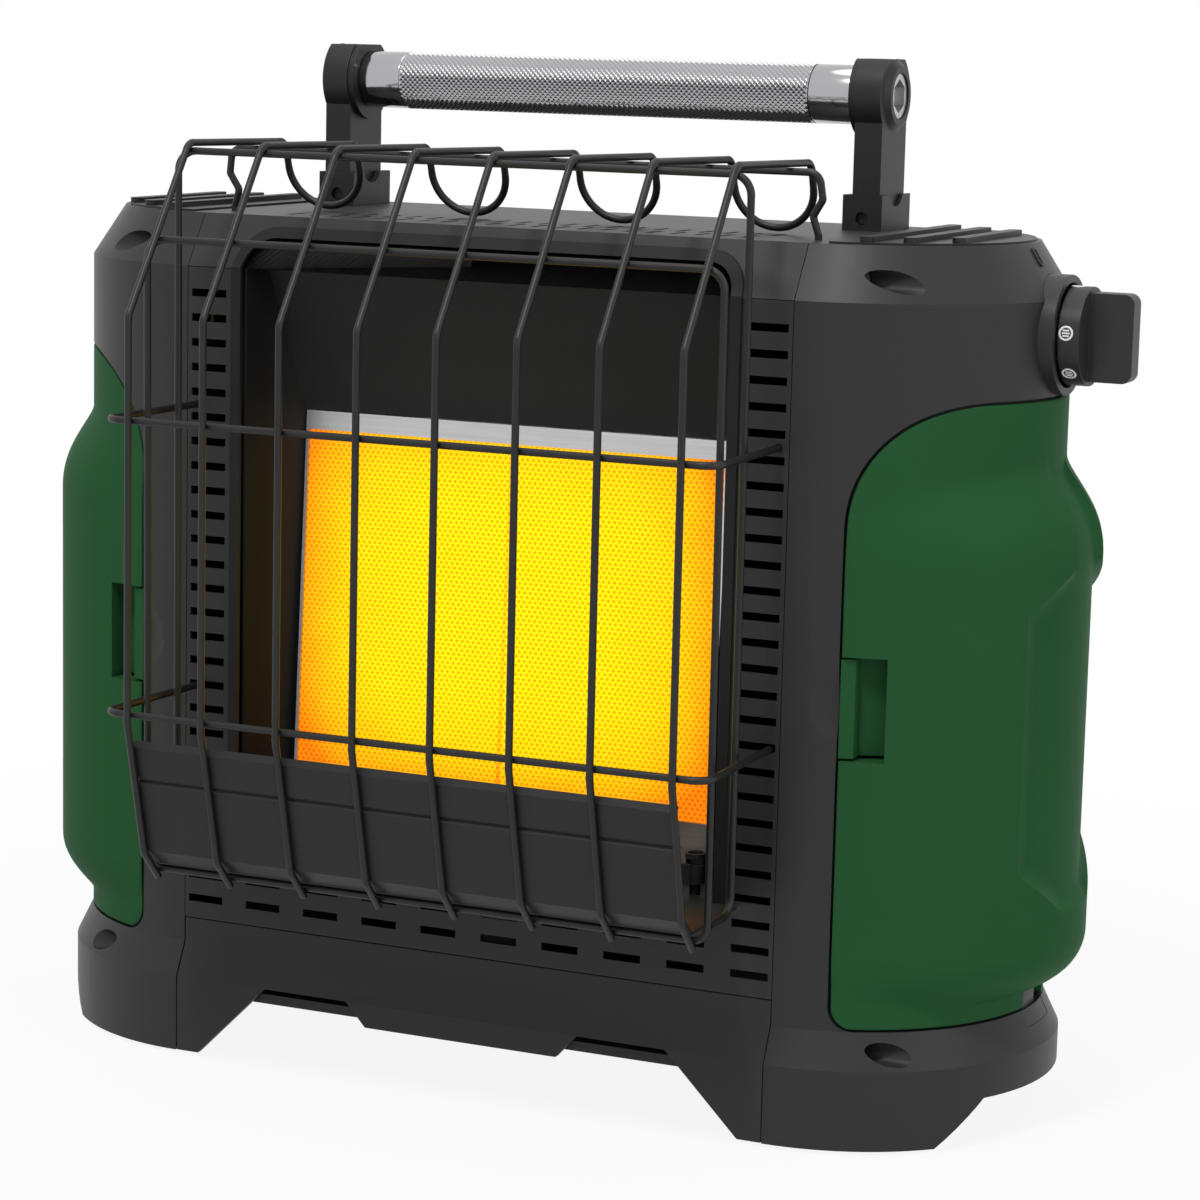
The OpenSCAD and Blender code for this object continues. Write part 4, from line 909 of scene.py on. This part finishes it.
def dress(node_name, radius):
    """A copy of a node with its edges rounded."""
    piece = bpy.data.objects.new(node_name + "_rounded", NODES[node_name].data.copy())
    bpy.context.scene.collection.objects.link(piece)
    alone(piece)
    bpy.ops.mesh.customdata_custom_splitnormals_clear()
    edit(piece)
    bpy.ops.mesh.remove_doubles(threshold=0.004 * MM)
    bpy.ops.mesh.dissolve_limited(angle_limit=math.radians(0.5))
    done()
    sharp = SHARP_HOUSING if node_name.endswith("_end_housing") else SHARP
    round_edges(piece, width=radius, segments=2, angle=sharp, miter_outer="MITER_ARC")
    crisp(piece, 30.0)
    # Broad faces keep one shade and the rounded edges take the change.
    modify(piece, "WEIGHTED_NORMAL", mode="FACE_AREA", weight=50, keep_sharp=True)
    finish(piece, node_name, FINISH_OF[node_name], True)


doors()
hose_notches()
chrome_grip()
for sign_name, (sign_x, sign_angle) in DIAL_SIGNS.items():
    dial_sign(sign_name, sign_x, sign_angle)
shoulder_slots()
for node_name, edge_radius in EDGE_RADII.items():
    dress(node_name, edge_radius)

# ---------------------------------------------------------------- studio

# The photograph's camera, fitted to it: focal length and image size in pixels, its angles in
# degrees, and the point of the drawing that it looks at from some distance in metres.
FOCAL, IMAGE, SENSOR = 3552.94, 1200.0, 36.0
TURN, RISE, ROLL = 24.06, 9.311, 1.377
LOOKS_AT, DISTANCE = (54.793, 0.0, 207.931), 1.3872

WHITE = (1.0, 1.0, 1.0, 1.0)
MATT_WHITE = (0.86, 0.86, 0.86, 1.0)
WORLD_FILL = 0.36
FLOOR_SIZE, FLOOR_DROP = 14.0, 0.0004
# The floor turns to plain white between these distances, in metres, from this share of it.
FADE_FROM, FADE_TO, FADE_LEAST = 0.30, 0.75, 0.90
# Place in metres, size in metres and power in watts. Each lamp points at the heater's middle.
LAMPS = {
    "key": ((-0.05, -1.35, 2.4), 0.5, 30.0),
    "side": ((2.2, -0.6, 1.1), 1.2, 8.0),
    "top": ((0.1, 0.3, 2.4), 1.6, 10.5),
}
LAMPS_AIM = (0.0, 0.0, 0.2)
# A Texture Coordinate node's Object output, and the length that a Vector Math node gives.
OBJECT_OUT, LENGTH_OUT = 3, 1


def camera():
    """A long lens from the front right, a little above the heater."""
    data = bpy.data.cameras.new("camera")
    data.sensor_width = SENSOR
    data.lens = FOCAL / IMAGE * SENSOR
    data.clip_start, data.clip_end = 0.05, 50.0
    cam = bpy.data.objects.new("camera", data)
    bpy.context.scene.collection.objects.link(cam)
    turn, rise, roll = math.radians(TURN), math.radians(RISE), math.radians(ROLL)
    ahead = Vector((
        -math.sin(turn) * math.cos(rise), math.cos(turn) * math.cos(rise), -math.sin(rise)))
    side = Vector((math.cos(turn), math.sin(turn), 0.0))
    over = side.cross(ahead)
    right = math.cos(roll) * side + math.sin(roll) * over
    up = -math.sin(roll) * side + math.cos(roll) * over
    matrix = Matrix((right, up, -ahead)).transposed().to_4x4()
    matrix.translation = at(*LOOKS_AT) - ahead * DISTANCE
    cam.matrix_world = matrix
    bpy.context.scene.camera = cam


def lamp(name, place, size, power):
    """A round soft light."""
    data = bpy.data.lights.new(name, "AREA")
    data.shape, data.size, data.energy = "DISK", size, power
    light = bpy.data.objects.new(name, data)
    bpy.context.scene.collection.objects.link(light)
    light.location = place
    aim = Vector(LAMPS_AIM) - Vector(place)
    light.rotation_euler = aim.to_track_quat("-Z", "Y").to_euler()


def seen(nodes):
    """1 for the camera's rays and for those that metal and glass send on."""
    rays = nodes.tree.nodes.new("ShaderNodeLightPath").outputs
    glossy = Value(nodes, rays["Is Glossy Ray"]).most(rays["Is Transmission Ray"])
    return Value(nodes, rays["Is Camera Ray"]).most(glossy)


def air():
    """A white background, and a soft fill for the heater."""
    world = bpy.data.worlds.new("studio")
    bpy.context.scene.world = world
    sky = Nodes(world)
    fill = sky.node("Background", {}, Color=WHITE, Strength=WORLD_FILL)
    white = sky.node("Background", {}, Color=WHITE, Strength=1.0)
    sky.node("OutputWorld", {}, Surface=sky.node("MixShader", {}, seen(sky), fill, white))


def ground():
    """A pale floor. The heater's shadow shows near it, and it fades to white beyond."""
    floor = added("plane", size=FLOOR_SIZE, location=(0.0, 0.0, -FLOOR_DROP))
    floor.name = "studio_floor"
    pale = bpy.data.materials.new("studio floor")
    nodes = Nodes(pale)
    spot = nodes.node("TexCoord", out=OBJECT_OUT)
    away = nodes.node("VectorMath", {"operation": "LENGTH"}, spot, out=LENGTH_OUT)
    share = seen(nodes) * away.step(FADE_FROM, FADE_TO, FADE_LEAST, 1.0)
    matt = nodes.node("BsdfDiffuse", {}, Color=MATT_WHITE)
    shine = nodes.node("Emission", {}, Color=WHITE, Strength=1.0)
    nodes.node("OutputMaterial", {}, Surface=nodes.node("MixShader", {}, share, matt, shine))
    floor.data.materials.append(pale)


bpy.context.scene.view_settings.view_transform = "Standard"
camera()
air()
ground()
for lamp_name, (lamp_place, lamp_size, lamp_power) in LAMPS.items():
    lamp(lamp_name, lamp_place, lamp_size, lamp_power)
